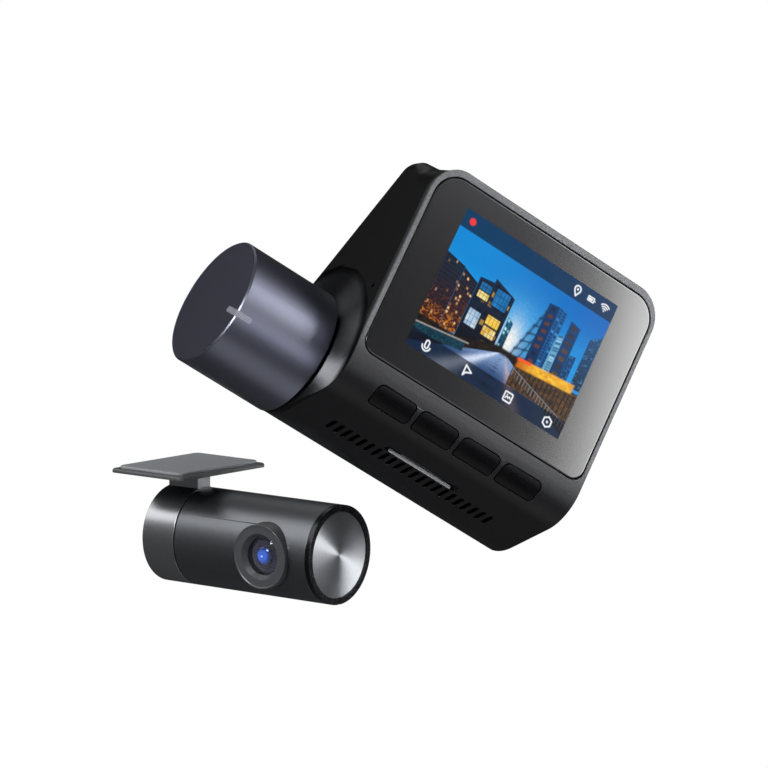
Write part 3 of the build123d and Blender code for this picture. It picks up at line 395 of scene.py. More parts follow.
painted_rim_sheen = add_node(tree, "ShaderNodeMix", grey, {0: painted_sheen_share, 6: tree.nodes["colour"].outputs[2]})
tree.links.new(painted_rim_sheen.outputs[2], tree.nodes["shader"].inputs["Base Color"])
print("front face at", round(face_y / mm, 2), "mm")

# %% [markdown]
# ### Metals
# Anodised aluminium is blasted with fine beads, coloured, and sealed: a metal mirror blurred by its
# grain. The beads' marks are about 0.05 mm across, and are drawn at 0.18 mm so that they show. A
# black anodised part still mirrors, so its colour is lighter than the part looks. Steel parts are
# plated. Each row ends with how much of the finish is metal.

# %% Metal finishes
metals = (
    # Beads blur the mirror and the dye tints it violet-grey.
    ("drum_aluminium", "violet_grey_anodised_aluminium", "#656773", "#6d6f7b", 0.18, 0.0022, 0.34, 0.42, 1),
    # The same metal on the drum's end, a shade darker: painted shade that keeps the end face darker than the wall.
    ("drum_cap_aluminium", "blasted_anodised_aluminium_painted_shade", "#585868", "#626272", 0.18, 0.0022, 0.30, 0.38, 1),
    # A paler inlay that shines less than its surroundings.
    ("position_mark", "bright_anodised_inlay", "#7c7e88", "#8e909a", 0.25, 0.002, 0.38, 0.48, 0.6),
    # Deep black that mirrors very little.
    ("black_metal", "black_anodised_lens_barrel", "#0c0c0d", "#151516", 0.30, 0.004, 0.45, 0.60, 0.3),
    # Bare turned aluminium: bright and clean.
    ("shaft_metal", "turned_aluminium", "#b7b8bb", "#c6c7ca", 0.50, 0.003, 0.24, 0.36, 1),
    # Stamped steel: bright and slightly warm.
    ("spring_steel", "stamped_spring_steel", "#a9a8a6", "#bcbbb9", 0.40, 0.003, 0.28, 0.40, 1),
    # Black zinc: dark grey with a soft shine.
    ("screw_steel", "black_zinc_plated_steel", "#3a3a3c", "#48484b", 0.30, 0.003, 0.30, 0.42, 1),
    # Nickel: a warm, nearly sharp mirror.
    ("socket_steel", "nickel_plated_steel", "#b9b7b0", "#c9c7c1", 0.60, 0.002, 0.18, 0.30, 1),
    # Extruded fins: pale and dull.
    ("heat_sink_aluminium", "extruded_aluminium", "#b4b6ba", "#c4c6ca", 0.20, 0.006, 0.40, 0.52, 1),
    # Bright, cold frame of the light guide.
    ("backlight_foil", "stamped_light_guide_frame", "#c2c3c5", "#d0d1d3", 0.80, 0.002, 0.25, 0.38, 1),
    # Pouch foil: grey, with soft dents.
    ("battery_foil", "laminated_pouch_foil", "#8e9096", "#a2a4aa", 1.50, 0.060, 0.25, 0.40, 0.8),
    # Satin black, made lighter than the barrel's same black: a painted highlight that brightens the broad line of
    # light along the fixed ring.
    ("rear_ring_metal", "satin_black_ring_painted_lighter", "#8e8f92", "#98999c", 0.18, 0.0025, 0.27, 0.36, 1),
    # The same black on the barrel, darker than the ring's painted lighter copy, and more spread.
    ("rear_barrel_metal", "satin_black_anodised_barrel", "#5e6063", "#686a6d", 0.18, 0.0025, 0.34, 0.44, 1),
    # Turned after dyeing: a thin, crisp line of light.
    ("trim_ring_metal", "turned_black_anodised_trim", "#2a2a2c", "#343436", 0.30, 0.0010, 0.20, 0.30, 1),
    # Half matt, so the hood's flat face shows grey.
    ("rear_lens_ring_metal", "turned_black_lens_hood", "#4a4b4e", "#545558", 0.30, 0.0010, 0.28, 0.38, 0.35),
)
for slot_name, *look, metallic in metals:
    finishes[slot_name] = grained(*look, Metallic=metallic)
# Fine circular grooves spread a lamp across themselves, into a fan.
collar_look = ("turned_satin_collar", "#5a5b5e", "#626366", 0.30, 0.0004, 0.45, 0.48)
finishes["collar_metal"] = grained(*collar_look, Metallic=1.0, Anisotropic=1.0)
disc_look = ("spun_aluminium", "#949699", "#a0a2a5", 0.30, 0.0004, 0.38, 0.42)
finishes["spun_disc_metal"] = grained(*disc_look, Metallic=1.0, Anisotropic=0.9)
for turned_finish in ("spun_disc_metal", "collar_metal"):
    tree = finishes[turned_finish].node_tree
    across_grooves = add_node(tree, "ShaderNodeTangent", {"direction_type": "UV_MAP", "uv_map": "turned"})
    tree.links.new(across_grooves.outputs[0], tree.nodes["shader"].inputs["Tangent"])
print("finishes so far:", len(finishes))

# %% [markdown]
# The collar flares out of the black side shell, so over the first tenth of a millimetre of its rise
# its colour goes from the shell's black to satin.

# %% Black foot of the collar
tree = finishes["collar_metal"].node_tree
place = add_node(tree, "ShaderNodeTexCoord").outputs["Object"]
sideways = add_node(tree, "ShaderNodeSeparateXYZ", links={0: place}).outputs["X"]
side_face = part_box("front_cover")[0][0]
rise_of_flare = {1: side_face - 0.012 * mm, 2: side_face - 0.10 * mm}
satin = add_node(tree, "ShaderNodeMapRange", rise_of_flare, {0: sideways}).outputs[0]
black_foot = {"data_type": "RGBA", 6: linear("#0b0b0c")}
satin_top = {0: satin, 7: tree.nodes["colour"].outputs[2]}
black_to_satin = add_node(tree, "ShaderNodeMix", black_foot, satin_top).outputs[2]
tree.links.new(black_to_satin, tree.nodes["shader"].inputs["Base Color"])
print("side face at", round(side_face / mm, 2), "mm")

# %% [markdown]
# ### Glass, boards, rubber and foam
# The adhesive pads are closed acrylic foam: open pinholes and no gloss. The thermal pad is a soft
# gap filler. The circuit boards have a green solder mask over copper tracks.

# %% Other finishes
others = (
    # Open pinholes, and no gloss at all.
    ("adhesive_foam", "black_acrylic_foam", "#0d0d0e", "#1b1b1c", 0.45, 0.080, 0.75, 0.95, 1.40),
    # The liner over the foam makes it smooth and grey.
    ("rear_adhesive_foam", "grey_foam_under_liner", "#77797c", "#808285", 0.60, 0.010, 0.46, 0.58, 1.45),
    # Chalky blue rubber.
    ("thermal_rubber", "gap_filler_rubber", "#6f7f8f", "#8496a6", 0.40, 0.030, 0.60, 0.80, 1.42),
    # Black print seen through hard glass: a slightly blurred mirror over black.
    ("screen_glass", "black_printed_cover_glass", "#040405", "#060607", 25.0, 0.0, 0.135, 0.145, 1.72),
    # A coating that leaves a faint violet.
    ("lens_glass", "coated_optical_glass", "#0a0a16", "#12102a", 3.0, 0.0002, 0.03, 0.06, 1.70),
    # The unlit panel: flat, dark and smooth.
    ("display_module", "liquid_crystal_panel", "#0a0a0c", "#101013", 0.50, 0.001, 0.20, 0.30, 1.50),
)
for slot_name, *look, ior in others:
    finishes[slot_name] = grained(*look, IOR=ior)
# Green lacquer with a thin gloss, over paler copper tracks.
board_look = ("green_solder_mask_board", "#0e4428", "#145435", 0.40, 0.010, 0.30, 0.45)
board = grained(*board_look, IOR=1.50, Coat_Weight=0.3)
tree = board.node_tree
place = add_node(tree, "ShaderNodeTexCoord").outputs["Object"]
lands = {"Scale": 1.0, "Mortar Size": 0.12 * mm, "Brick Width": 2.1 * mm, "Row Height": 0.9 * mm}
greens = {"Color1": linear("#0e4428"), "Color2": linear("#145435"), "Mortar": linear("#2f7a4c")}
tracks = add_node(tree, "ShaderNodeTexBrick", lands | greens, {"Vector": place})
tree.links.new(tracks.outputs["Color"], tree.nodes["shader"].inputs["Base Color"])
finishes["circuit_board"] = board
print("finishes:", len(finishes))

# %% Each piece and CAD node gets its slot's finish
def wear(piece, finish):
    """Gives a piece one finish."""
    piece.data.materials.clear()
    piece.data.materials.append(finish)


print("slots without a finish:", sorted(set(slot_of.values()) - set(finishes)))
for node, slot_name in slot_of.items():
    wear(pieces.get(node, frame["nodes"][node]), finishes[slot_name])

# %% [markdown]
# The drum's collar is one piece with the side shell, but it is a turned, satin ring to the eye: its
# fine circular grooves spread light across themselves. Its faces on the shell are found by their
# height above the flat side and get a finish of their own, with a UV map of the distance from the
# drum's axis and the angle round it.

# %% Satin collar on the side shell
shell = pieces["housing"].data
middle, facing = read(shell.polygons, "center", 3), read(shell.polygons, "normal", 3)
loop_corner = read(shell.loops, "vertex_index", 1, int)
loop_count = read(shell.polygons, "loop_total", 1, int)
from_drum = read(shell.vertices, "co", 3)[loop_corner][:, 1:] - drum_centre[1:]
face_turn = np.repeat(np.arctan2(*(middle[:, 1:] - drum_centre[1:]).T), loop_count)
turn = np.arctan2(*from_drum.T) - face_turn
turn = face_turn + np.arctan2(np.sin(turn), np.cos(turn))
groove_map = np.stack([np.linalg.norm(from_drum, axis=1), turn / (2 * math.pi)], -1)
shell.uv_layers.new(name="turned").data.foreach_set("uv", groove_map.astype(np.float32).ravel())
on_collar = (middle[:, 0] < side_face - 0.002 * mm) & (facing[:, 0] < -0.9)
shell.materials.append(finishes["collar_metal"])
shell.polygons.foreach_set("material_index", on_collar.astype(np.int32))
print("collar faces:", int(on_collar.sum()), "of", len(shell.polygons))

# %% [markdown]
# The floor is a sheet of frosted acrylic, lit from below like a light table: it
# stays pale from every side, and it throws no light back at the dark object.

# %% Floor finish
# Frosting spreads the light from below, so the sheet glows evenly and mirrors nothing.
floor_look = ("frosted_acrylic_sheet", "#d8d8d8", "#dedede", 4.0, 0.0, 0.85, 0.95)
wear(floor, grained(*floor_look, Emission_Strength=0.72, Emission_Color=(1, 1, 1, 1)))
print("floor finish:", floor_look[0])

# %% [markdown]
# ## Surfaces from profiles and outlines
# Most new pieces are one of two kinds. A turned piece carries a profile round an axis. The cover
# glass carries its section round the screen's outline. Both are grids of places, so one function
# joins their cells and one makes the mesh, welds it and turns its faces outwards.


# %% Grids, and a mesh from a grid
def grid_cells(rows, columns, around=False, across=False):
    """Corner numbers of each four-sided cell of a grid, joined up round its columns or its rows."""
    number = np.arange(rows * columns).reshape(rows, columns)
    if around:
        number = np.concatenate([number, number[:, :1]], 1)
    if across:
        number = np.concatenate([number, number[:1]], 0)
    return np.stack([number[:-1, :-1], number[:-1, 1:], number[1:, 1:], number[1:, :-1]], -1).reshape(-1, 4)


def make_piece(name, places, cells, body, slot_name, finish, pattern=None):
    """A mesh piece from places and cells. pattern gives two UV numbers for each place. Places that
    coincide, as at a pole, are merged, and edges sharper than 30 degrees stay sharp."""
    mesh = bpy.data.meshes.new(name)
    mesh.from_pydata(np.asarray(places).reshape(-1, 3), [], np.asarray(cells).tolist())
    if pattern is not None:
        spread = np.asarray(pattern, np.float32).reshape(-1, 2)[np.asarray(cells).ravel()]
        mesh.uv_layers.new(name="turned").data.foreach_set("uv", spread.ravel())
    shape = bmesh.new()
    shape.from_mesh(mesh)
    bmesh.ops.remove_doubles(shape, verts=shape.verts, dist=1e-7)
    bmesh.ops.recalc_face_normals(shape, faces=shape.faces)
    shape.to_mesh(mesh)
    shape.free()
    mesh.shade_smooth()
    mesh.set_sharp_from_angle(angle=crease)
    piece = in_scene(name, mesh)
    wear(piece, finish)
    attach(piece, body)
    return piece


def eased(profile, radius, steps=5):
    """A closed profile with each corner rounded: from radius before the corner to radius after it,
    on the curve (1-t) squared times the first, 2t(1-t) times the corner, t squared times the last."""
    profile = np.asarray(profile, float)
    before, after = np.roll(profile, 1, 0) - profile, np.roll(profile, -1, 0) - profile
    long_before, long_after = np.linalg.norm(before, axis=1), np.linalg.norm(after, axis=1)
    reach = np.minimum(radius, 0.45 * np.minimum(long_before, long_after))[:, None]
    first = profile + before / long_before[:, None] * reach
    last = profile + after / long_after[:, None] * reach
    t = np.linspace(0, 1, steps)[None, :, None]
    curve = (1 - t) ** 2 * first[:, None] + 2 * t * (1 - t) * profile[:, None] + t**2 * last[:, None]
    return curve.reshape(-1, 2)


def turned(name, profile, origin, axis, body, slot_name, finish, closed=True, steps=144):
    """A profile of (distance out, distance along) pairs carried round an axis: the place is the
    origin, plus along times the axis, plus out times the cosine of the turn times one side
    direction and the sine times the other. Its UV map is (distance out, share of a turn)."""
    out, along = np.asarray(profile, float).T
    turn = np.linspace(0, 2 * math.pi, steps, endpoint=False)
    side = unit(np.cross(axis, (0.3, 0.2, 1.0)))
    ring = np.cos(turn)[:, None] * side + np.sin(turn)[:, None] * np.cross(axis, side)
    places = origin + along[:, None, None] * axis + out[:, None, None] * ring[None]
    pattern = np.stack(np.broadcast_arrays(out[:, None], turn[None] / (2 * math.pi)), -1)
    cells = grid_cells(len(out), steps, around=True, across=closed)
    return make_piece(name, places, cells, body, slot_name, finish, pattern)


print("helpers ready")

# %% [markdown]
# ## Lenses
# A camera lens looks deep because it is a stack: a clear coated front glass, black steps that
# swallow stray light, and a smaller glass behind with a blue coating, given a painted glow and a
# painted highlight in its middle. One dark disc would look like a sticker. Both cameras get the
# same stack, turned on their own sight axes.

# %% Lens finishes
# Clear, with a violet coating; its mirror is nearly perfect.
clear_look = ("ground_and_coated_front_glass", "#e4e2f4", "#efeefa", 6.0, 0.0, 0.01, 0.03)
violet = (0.80, 0.78, 1.0, 1.0)
clear_coated_glass = grained(*clear_look, IOR=1.52, Transmission_Weight=1.0, Specular_Tint=violet)
# The glass behind it is coated blue, with a painted glow given out as light and a painted highlight, near white,
# in the middle.
blue_look = ("blue_inner_glass_painted_glow", "#0a1660", "#10248c", 1.5, 0.0, 0.10, 0.16)
blue_glass_painted_glow = grained(*blue_look, IOR=1.9, Specular_Tint=(0.25, 0.4, 1.0, 1.0))
# Threads that swallow light.
matt_baffle = grained("threaded_black_baffle", "#050506", "#0a0a0b", 0.3, 0.004, 0.45, 0.6, IOR=1.5)
tree = blue_glass_painted_glow.node_tree
map_uv = add_node(tree, "ShaderNodeUVMap", {"uv_map": "turned"}).outputs[0]
radius_out = add_node(tree, "ShaderNodeSeparateXYZ", links={0: map_uv}).outputs["X"]
share_out = add_node(tree, "ShaderNodeMapRange", {2: 2.0 * mm}, {0: radius_out}).outputs[0]
painted_glow_ramp = add_node(tree, "ShaderNodeValToRGB", links={0: share_out})
# Painted highlight: near white in the middle, going over into the coating's blue and dark at the edge.
painted_glow_ramp.color_ramp.elements[0].color = linear("#c4d4ff")
painted_glow_ramp.color_ramp.elements[1].color = linear("#04050c")
coating = ((0.10, "#9ab4ff"), (0.18, "#1a4ca4"), (0.40, "#2064cc"), (0.66, "#16408e"), (0.82, "#0a1238"))
for stop, shade in coating:
    painted_glow_ramp.color_ramp.elements.new(stop).color = linear(shade)
tree.links.new(painted_glow_ramp.outputs[0], tree.nodes["shader"].inputs["Base Color"])
# Painted glow: the same colours, highlight included, are given out as light.
tree.links.new(painted_glow_ramp.outputs[0], tree.nodes["shader"].inputs["Emission Color"])
tree.nodes["shader"].inputs["Emission Strength"].default_value = 0.45
print("coating colours:", len(painted_glow_ramp.color_ramp.elements))


# %% Lens stacks
def lens_stack(label, node_ring, node_lens, eye, sight, body, face_edge):
    """Ring, front glass, stepped baffle and inner glass on one sight axis. The sizes are read from
    the CAD nodes; face_edge is the inner edge of the ring's flat face."""
    foot, rim, bore, outer = ruler(node_ring, eye, sight)
    back, crest, _, radius = ruler(node_lens, eye, sight)
    edge = back + 0.8 * mm
    share = np.linspace(0, 1, 7)
    step_out = np.repeat(face_edge + (bore - face_edge) * share, 2)[1:]
    step_along = np.repeat(rim - 0.10 * mm + (edge - rim + 0.12 * mm) * share, 2)[:-1]
    inside = np.stack([step_out, step_along], -1)
    lip = [(outer - 0.30 * mm, rim), (outer - 0.42 * mm, rim - 0.10 * mm)]
    profile = np.concatenate([[(bore, foot), (outer, foot), (outer, rim)], lip, inside])
    look = (body, slot_of[node_ring], finishes[slot_of[node_ring]])
    ring_piece = turned(label + "_ring", eased(profile, 0.10 * mm), eye, sight, *look)
    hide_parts(node_ring)

    sphere = (radius**2 + (crest - edge) ** 2) / (2 * (crest - edge))
    out = radius * np.sin(np.linspace(0, math.pi / 2, 24))
    crown = crest - sphere + np.sqrt(sphere**2 - out**2)
    glass_thickness = 0.45 * mm
    under = np.stack([out, crown - glass_thickness], -1)[::-1]
    meniscus = np.concatenate([np.stack([out, crown], -1), under])
    look = (body, "lens_glass", clear_coated_glass)
    front_glass = turned(label + "_front_glass", meniscus, eye, sight, *look, closed=False)
    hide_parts(node_lens)

    wide, narrow = bore - 0.05 * mm, 1.9 * mm
    floor_high = edge - 0.55 * mm
    fall = np.repeat(np.linspace(floor_high, floor_high - 0.5 * mm, 5), 2)[1:]
    shrink = np.repeat(np.linspace(wide, narrow, 5), 2)[:-1]
    foot_gap = foot + 0.02 * mm
    baffle = np.concatenate([[(wide, foot_gap)], np.stack([shrink, fall], -1), [(narrow, foot_gap)]])
    turned(label + "_baffle", baffle, eye, sight, body, "black_metal", matt_baffle)

    out = (narrow - 0.03 * mm) * np.sin(np.linspace(0, math.pi / 2, 16))
    swell = crest - 0.62 * mm - 0.55 * mm * (out / narrow) ** 2
    flat_back = np.stack([out[::-1], np.full(16, foot + 0.03 * mm)], -1)
    inner = np.concatenate([np.stack([out, swell], -1), flat_back])
    look = (body, "lens_glass", blue_glass_painted_glow)
    turned(label + "_inner_glass", inner, eye, sight, *look, closed=False)
    return rim - crest


rear_place, drum_place = (rear_eye, rear_sight, "rear_camera_barrel"), (drum_eye, drum_sight, "lens_drum")
rear_gap = lens_stack("rear_lens_stack", "rear_lens_ring", "rear_lens", *rear_place, 4.95 * mm)
drum_gap = lens_stack("drum_lens_stack", "drum_lens_ring", "drum_lens", *drum_place, 5.90 * mm)
print("front glasses lie", round(rear_gap / mm, 2), "and", round(drum_gap / mm, 2), "mm below their rims")

# %% [markdown]
# ## Spun disc
# The rear camera's end is closed by an aluminium disc that was spun against a tool. Its circular
# grooves spread light across themselves only, so a lamp shows as two bright fans through the
# centre. The shader does this with anisotropy, and the tangent that it needs runs outwards, which
# is the first direction of the turned piece's UV map.

# %% Spun end disc
disc_back, disc_front, _, disc_radius = ruler("rear_end_disc", rear_centre, rear_axis)
groove = np.linspace(0, disc_radius - 0.15 * mm, 40)
groove_spacing, groove_depth = 1.2 * mm, 0.010 * mm
ripple = groove_depth * (0.5 + 0.5 * np.cos(2 * math.pi * groove / groove_spacing))
top = np.stack([groove, disc_front - ripple], -1)
edge = [(disc_radius - 0.05 * mm, disc_front - 0.03 * mm), (disc_radius, disc_front - 0.12 * mm)]
disc_profile = np.concatenate([top, edge, [(disc_radius, disc_back), (0, disc_back)]])
look = ("rear_camera_barrel", "spun_disc_metal", finishes["spun_disc_metal"])
spun_disc = turned("spun_end_disc", disc_profile, rear_centre, rear_axis, *look, closed=False)
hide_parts("rear_end_disc")
print("disc radius:", round(disc_radius / mm, 2), "mm")

# %% [markdown]
# ## Painted light strip in the card pocket
# The memory card sits in a shallow pocket on the underside. A pale satin strip lines the pocket's
# rear wall and shows as a light bar in the dark underside: a painted highlight, standing in for the
# wall catching light. It is a flat bar with round ends: rings of places round one outline, each moved
# in and raised a little, and the first and last rings shrunk to the bar's middle line, which closes
# it. The pocket's corner places in the CAD mesh give the wall.

# %% Pocket lip
cover_places = corners("front_cover")
card_low, card_high = ends("memory_card")
near_card = np.abs(cover_places[:, 1] - (card_low[1] + card_high[1]) / 2) < 0.72 * mm
near_card &= np.abs(cover_places[:, 0]) < card_high[0] + 4 * mm
near_card &= cover_places[:, 2] < card_low[2] + 1 * mm
pocket_end = cover_places[near_card]
pocket_end = pocket_end[pocket_end[:, 0] < pocket_end[:, 0].min() + 0.001 * mm]
mouth_front, floor_front, mouth_rear = np.unique(pocket_end.round(6)[:, 1:], axis=0)[:3]
inward, rearward = unit(floor_front - mouth_front), unit(mouth_rear - mouth_front)
pocket_sink = np.linalg.norm(floor_front - mouth_front)
corner_radius = 0.4 * mm
wall_middle = mouth_rear + rearward * corner_radius + inward * pocket_sink / 2
lit_strip_radius, lit_strip_reach, lit_strip_thickness = 0.40 * mm, 7.8 * mm, 0.12 * mm


def lit_strip_ring(inset, raised, steps=12):
    """Places round the bar: two half circles whose centres lie lit_strip_reach either side of the middle,
    with lit_strip_radius less inset, raised from the wall towards the front."""
    turn = np.linspace(-math.pi / 2, math.pi / 2, steps)
    radius = lit_strip_radius - inset
    bulge = lit_strip_reach + radius * np.cos(turn)
    across = np.concatenate([bulge, -bulge])
    deep = radius * np.concatenate([np.sin(turn), -np.sin(turn)])
    flat = wall_middle + deep[:, None] * inward - raised * rearward
    return np.column_stack([across, flat])


rings = [(lit_strip_radius, 0.0), (0.0, 0.0), (0.0, 0.6), (0.05 * mm, 0.9), (0.10 * mm, 1.0), (lit_strip_radius, 1.0)]
lit_strip_places = np.array([lit_strip_ring(inset, share * lit_strip_thickness) for inset, share in rings])
lit_strip_cells = grid_cells(*lit_strip_places.shape[:2], around=True)
# A painted highlight: pale satin plastic that stands in for the line of light on the pocket's wall.
painted_lit_wall_strip = grained("pale_strip_painted_lit_wall", "#b4b5b8", "#c6c7ca", 0.25, 0.004, 0.34, 0.46, IOR=1.53)
lip = make_piece("card_pocket_painted_lit_strip", lit_strip_places, lit_strip_cells, "front_unit", "rear_plate_plastic", painted_lit_wall_strip)
print("pocket sink:", round(pocket_sink / mm, 2), "mm, lip faces:", len(lip.data.polygons))

# %% [markdown]
# ## Cover glass
# The display lies behind one sheet of hardened glass whose back is printed black except for a
# window. The lit panel is bonded into that window, so picture and border lie in one plane. The
# border is one closed surface on a grid: round the outline one way, and across the section the
# other way, with its outer edge ground to a quarter-round. A Boolean cut would leave ragged
# triangles there.

# %% Cover glass border
glass_low, glass_high = ends("display_glass")
glass_size, glass_face = glass_high - glass_low, glass_low[1]
glass_middle = (glass_low + glass_high) / 2
picture_size = np.array([40.4, 30.9]) * mm
picture_middle = centre("display_panel") + np.array([-0.2, 0, 0]) * mm
glass_radii = np.array([5.6, 5.6, 2.7, 2.7]) * mm


def outline_loop(width, height, radii, middle, depth, steps=16):
    """Places round a rectangle with four rounded corners, from the upper right one anticlockwise:
    each corner's centre, plus its radius times the cosine and sine of an angle that turns 90
    degrees, at a depth behind the glass's face."""
    radii = np.asarray(radii, float)
    sign = np.array([[1, 1], [-1, 1], [-1, -1], [1, -1]])
    corner = sign * (np.array([width, height]) / 2 - radii[:, None])
    turn = np.linspace(0, math.pi / 2, steps)[None, :] + np.arange(4)[:, None] * math.pi / 2
    bend = np.stack([np.cos(turn), np.sin(turn)], -1) * radii[:, None, None]
    flat = (corner[:, None] + bend).reshape(-1, 2)
    behind = np.full(len(flat), glass_face + depth)
    return np.stack([flat[:, 0] + middle[0], behind, flat[:, 1] + middle[2]], -1)


def glass_loop(inset, depth):
    """The glass's own outline, moved in by inset."""
    width, _, height = glass_size - 2 * inset
    return outline_loop(width, height, glass_radii - inset, glass_middle, depth)


def window_loop(depth):
    """The window's outline."""
    return outline_loop(*(picture_size + 0.04 * mm), [0.12 * mm] * 4, picture_middle, depth)


grind, ground_edge = np.linspace(0, math.pi / 2, 7), 0.30 * mm
loops = [window_loop(glass_size[1]), window_loop(0.0), glass_loop(ground_edge + 0.05 * mm, 0.0)]
loops += [glass_loop(ground_edge * (1 - math.sin(a)), ground_edge * (1 - math.cos(a))) for a in grind]
loops += [glass_loop(0.0, glass_size[1])]
section = grid_cells(len(loops), len(loops[0]), around=True, across=True)
look = ("front_unit", "screen_glass", finishes["screen_glass"])
border = make_piece("cover_glass_border", np.array(loops), section, *look)
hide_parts("display_glass")
print("border cells:", len(border.data.polygons))

# %% [markdown]
# ## The picture on the screen
# The panel shows a generic street at dusk, as such a camera would record it: sky, a brick block,
# boxy glass fronts, two towers, a lit pavilion, a wet road, and a row of plain symbols. It is
# painted by formula on a fine grid, layer over layer, and kept as a colour at each grid point; the
# finish gives it out as light. A formula stays sharp at any grid and needs nothing else on disk.

# %% Picture tools
u, v = np.meshgrid(np.linspace(0, 1, 321), np.linspace(0, 1, 246), indexing="ij")
x_mm, y_mm = u * picture_size[0] / mm, v * picture_size[1] / mm
picture = np.zeros((*u.shape, 3))


def rise(value, low, high):
    """0 below low, 1 above high, and three t squared less two t cubed between."""
    t = np.clip((value - low) / (high - low), 0, 1)
    return t * t * (3 - 2 * t)


def between(value, low, high, soft=0.004):
    """1 from low to high, with soft ends."""
    return rise(value, low - soft, low + soft) * (1 - rise(value, high - soft, high + soft))


def patch(left, right, top, low, soft_sides=0.004, soft_ends=0.004):
    """1 inside an upright four-sided part of the picture, with soft sides and ends."""
    return between(u, left, right, soft_sides) * between(v, top, low, soft_ends)


def haze(across, width, down, height):
    """A round glow: e to the power of minus the two squared distances, each over its own size."""
    return np.exp(-(((u - across) / width) ** 2) - (((v - down) / height) ** 2))


def tone(hex_colour):
    """A colour's three linear parts."""
    return np.array(linear(hex_colour)[:3])


def paint(mask, first, second=None, share=0.0):
    """Lays a colour, or two mixed by a share, over the picture as strongly as mask says."""
    share = np.broadcast_to(share, u.shape)[..., None]
    colour = tone(first) * (1 - share) + tone(second or first) * share
    picture[:] += np.asarray(mask)[..., None] * (colour - picture)


def mottle(size, seed):
    """Smooth noise from 0 to 1: random values on a coarse grid, read between its points by size."""
    table = np.random.default_rng(seed).random((64, 64))
    a, b = (u / size) % 63, (v / size) % 63
    i, j = a.astype(int), b.astype(int)
    p, q = rise(a - i, 0, 1), rise(b - j, 0, 1)
    near = table[i, j] * (1 - q) + table[i, j + 1] * q
    return near * (1 - p) + (table[i + 1, j] * (1 - q) + table[i + 1, j + 1] * q) * p


def facade(left, right, roof_a, roof_b, foot_a, foot_b, floors, bays, lit, pane, seed, shades):
    """A building front between two uprights. roof and foot give its heights at each of them, its
    floors run evenly between the two lines, and a share of its windows is lit. Its shades are the
    wall's at the foot and the roof, then the dimmest and brightest window's."""
    wall, glow = shades.split()[:2], shades.split()[2:]
    share = (u - left) / (right - left)
    top, base = roof_a + (roof_b - roof_a) * share, foot_a + (foot_b - foot_a) * share
    height = (base - v) / (base - top)
    body = between(u, left, right, 0.002) * between(height, 0.0, 1.0, 0.006)
    paint(body, *wall, np.clip(height, 0, 1))
    row, column = np.clip(height, 0, 0.9999) * floors, np.clip(share, 0, 0.9999) * bays
    table = np.random.default_rng(seed).random((floors, bays, 2))[row.astype(int), column.astype(int)]
    half = pane / 2
    hole = between(row % 1, 0.5 - half, 0.5 + half, 0.08)
    hole = hole * between(column % 1, 0.5 - half, 0.5 + half, 0.08)
    paint(body * hole * 0.6, "#0b1320")
    paint(body * hole * (table[..., 0] < lit) * (0.45 + 0.55 * table[..., 1]), *glow, table[..., 1])
    return body


print("picture grid:", u.shape)

# %% Sky and far side of the street
picture[:] = tone("#0a86d6") * (1 - u[..., None]) + tone("#0468c0") * u[..., None]
paint(0.55 * rise(v, 0.15, 0.60), "#22aef0")
paint(0.35 * haze(0.20, 0.25, 0.14, 0.14), "#1c9be6")
paint(0.45 * haze(0.50, 0.16, 0.60, 0.24), "#8fd8f6")
paint(haze(0.515, 0.055, 0.62, 0.13), "#f6f4f0")
slim = (0.462, 0.500, 0.475, 0.50, 0.72, 0.71, 8, 2, 0.35, 0.62, 3, "#17303f #1f6f92 #7fd0e8 #bfeaf2")
facade(*slim)
scaffold = patch(0.634 - 0.24 * (v - 0.30), 0.66, 0.26, 0.69)
struts = np.abs(np.sin(70 * (u + 0.24 * v))) * np.abs(np.sin(52 * v + 20 * u))
paint(scaffold * (0.45 + 0.45 * rise(-struts, -0.35, -0.10)), "#12385c", "#3c7fb0", struts)
# Sides, roof, foot, floors, bays, share of windows lit, their size in a bay, seed and shades.
towers = (
    (0.640, 0.705, 0.238, 0.228, 0.680, 0.675, 8, 1, 0.95, 0.42, 4, "#0b2c55 #0d3a6c #8a4a24 #5c3a30"),
    (0.705, 0.758, 0.226, 0.240, 0.675, 0.670, 20, 2, 0.30, 0.62, 5, "#12508c #1a62a4 #2a78b8 #3f90cc"),
    (0.752, 0.800, 0.395, 0.375, 0.670, 0.665, 16, 1, 0.30, 0.62, 6, "#6fb2d6 #3f8ec4 #8cc6e2 #a8d4ea"),
    (0.795, 0.862, 0.262, 0.280, 0.665, 0.660, 7, 1, 0.95, 0.55, 7, "#0d3560 #10457c #30303a #5a4a44"),
    (0.862, 0.905, 0.470, 0.460, 0.660, 0.660, 10, 3, 0.40, 0.62, 8, "#0d3b6c #12508c #1f6aa8 #2f7fba"),
    (0.935, 1.010, 0.305, 0.235, 0.660, 0.650, 22, 5, 0.35, 0.62, 9, "#12375c #1b5586 #2b6c9c #4a88b0"),
)
for tower in towers:
    facade(*tower)
print("far side painted")

# %% Near side of the street
near_row = (
    (-0.01, 0.125, 0.315, 0.345, 0.86, 0.80, 17, 9, 0.10, 0.62, 10, "#3c1c10 #1c2c40 #8a5a3a #f0c48c"),
    (0.125, 0.225, 0.350, 0.395, 0.80, 0.765, 16, 6, 0.20, 0.62, 11, "#4c2412 #20283a #b0703c #ffd898"),
    (0.225, 0.315, 0.345, 0.328, 0.80, 0.77, 5, 2, 0.3, 0.5, 15, "#0f1117 #182a44 #3a2c1c #6a5830"),
    (0.312, 0.452, 0.297, 0.352, 0.78, 0.73, 7, 3, 0.35, 0.5, 16, "#101218 #1a2c46 #6a4a20 #caa050"),
)
bricks = facade(*near_row[0]) + facade(*near_row[1])
brick_light = np.clip(bricks, 0, 1) * rise(mottle(0.012, 12), 0.45, 0.9) * 0.30
paint(brick_light * rise(v, 0.45, 0.70), "#8a4a22")
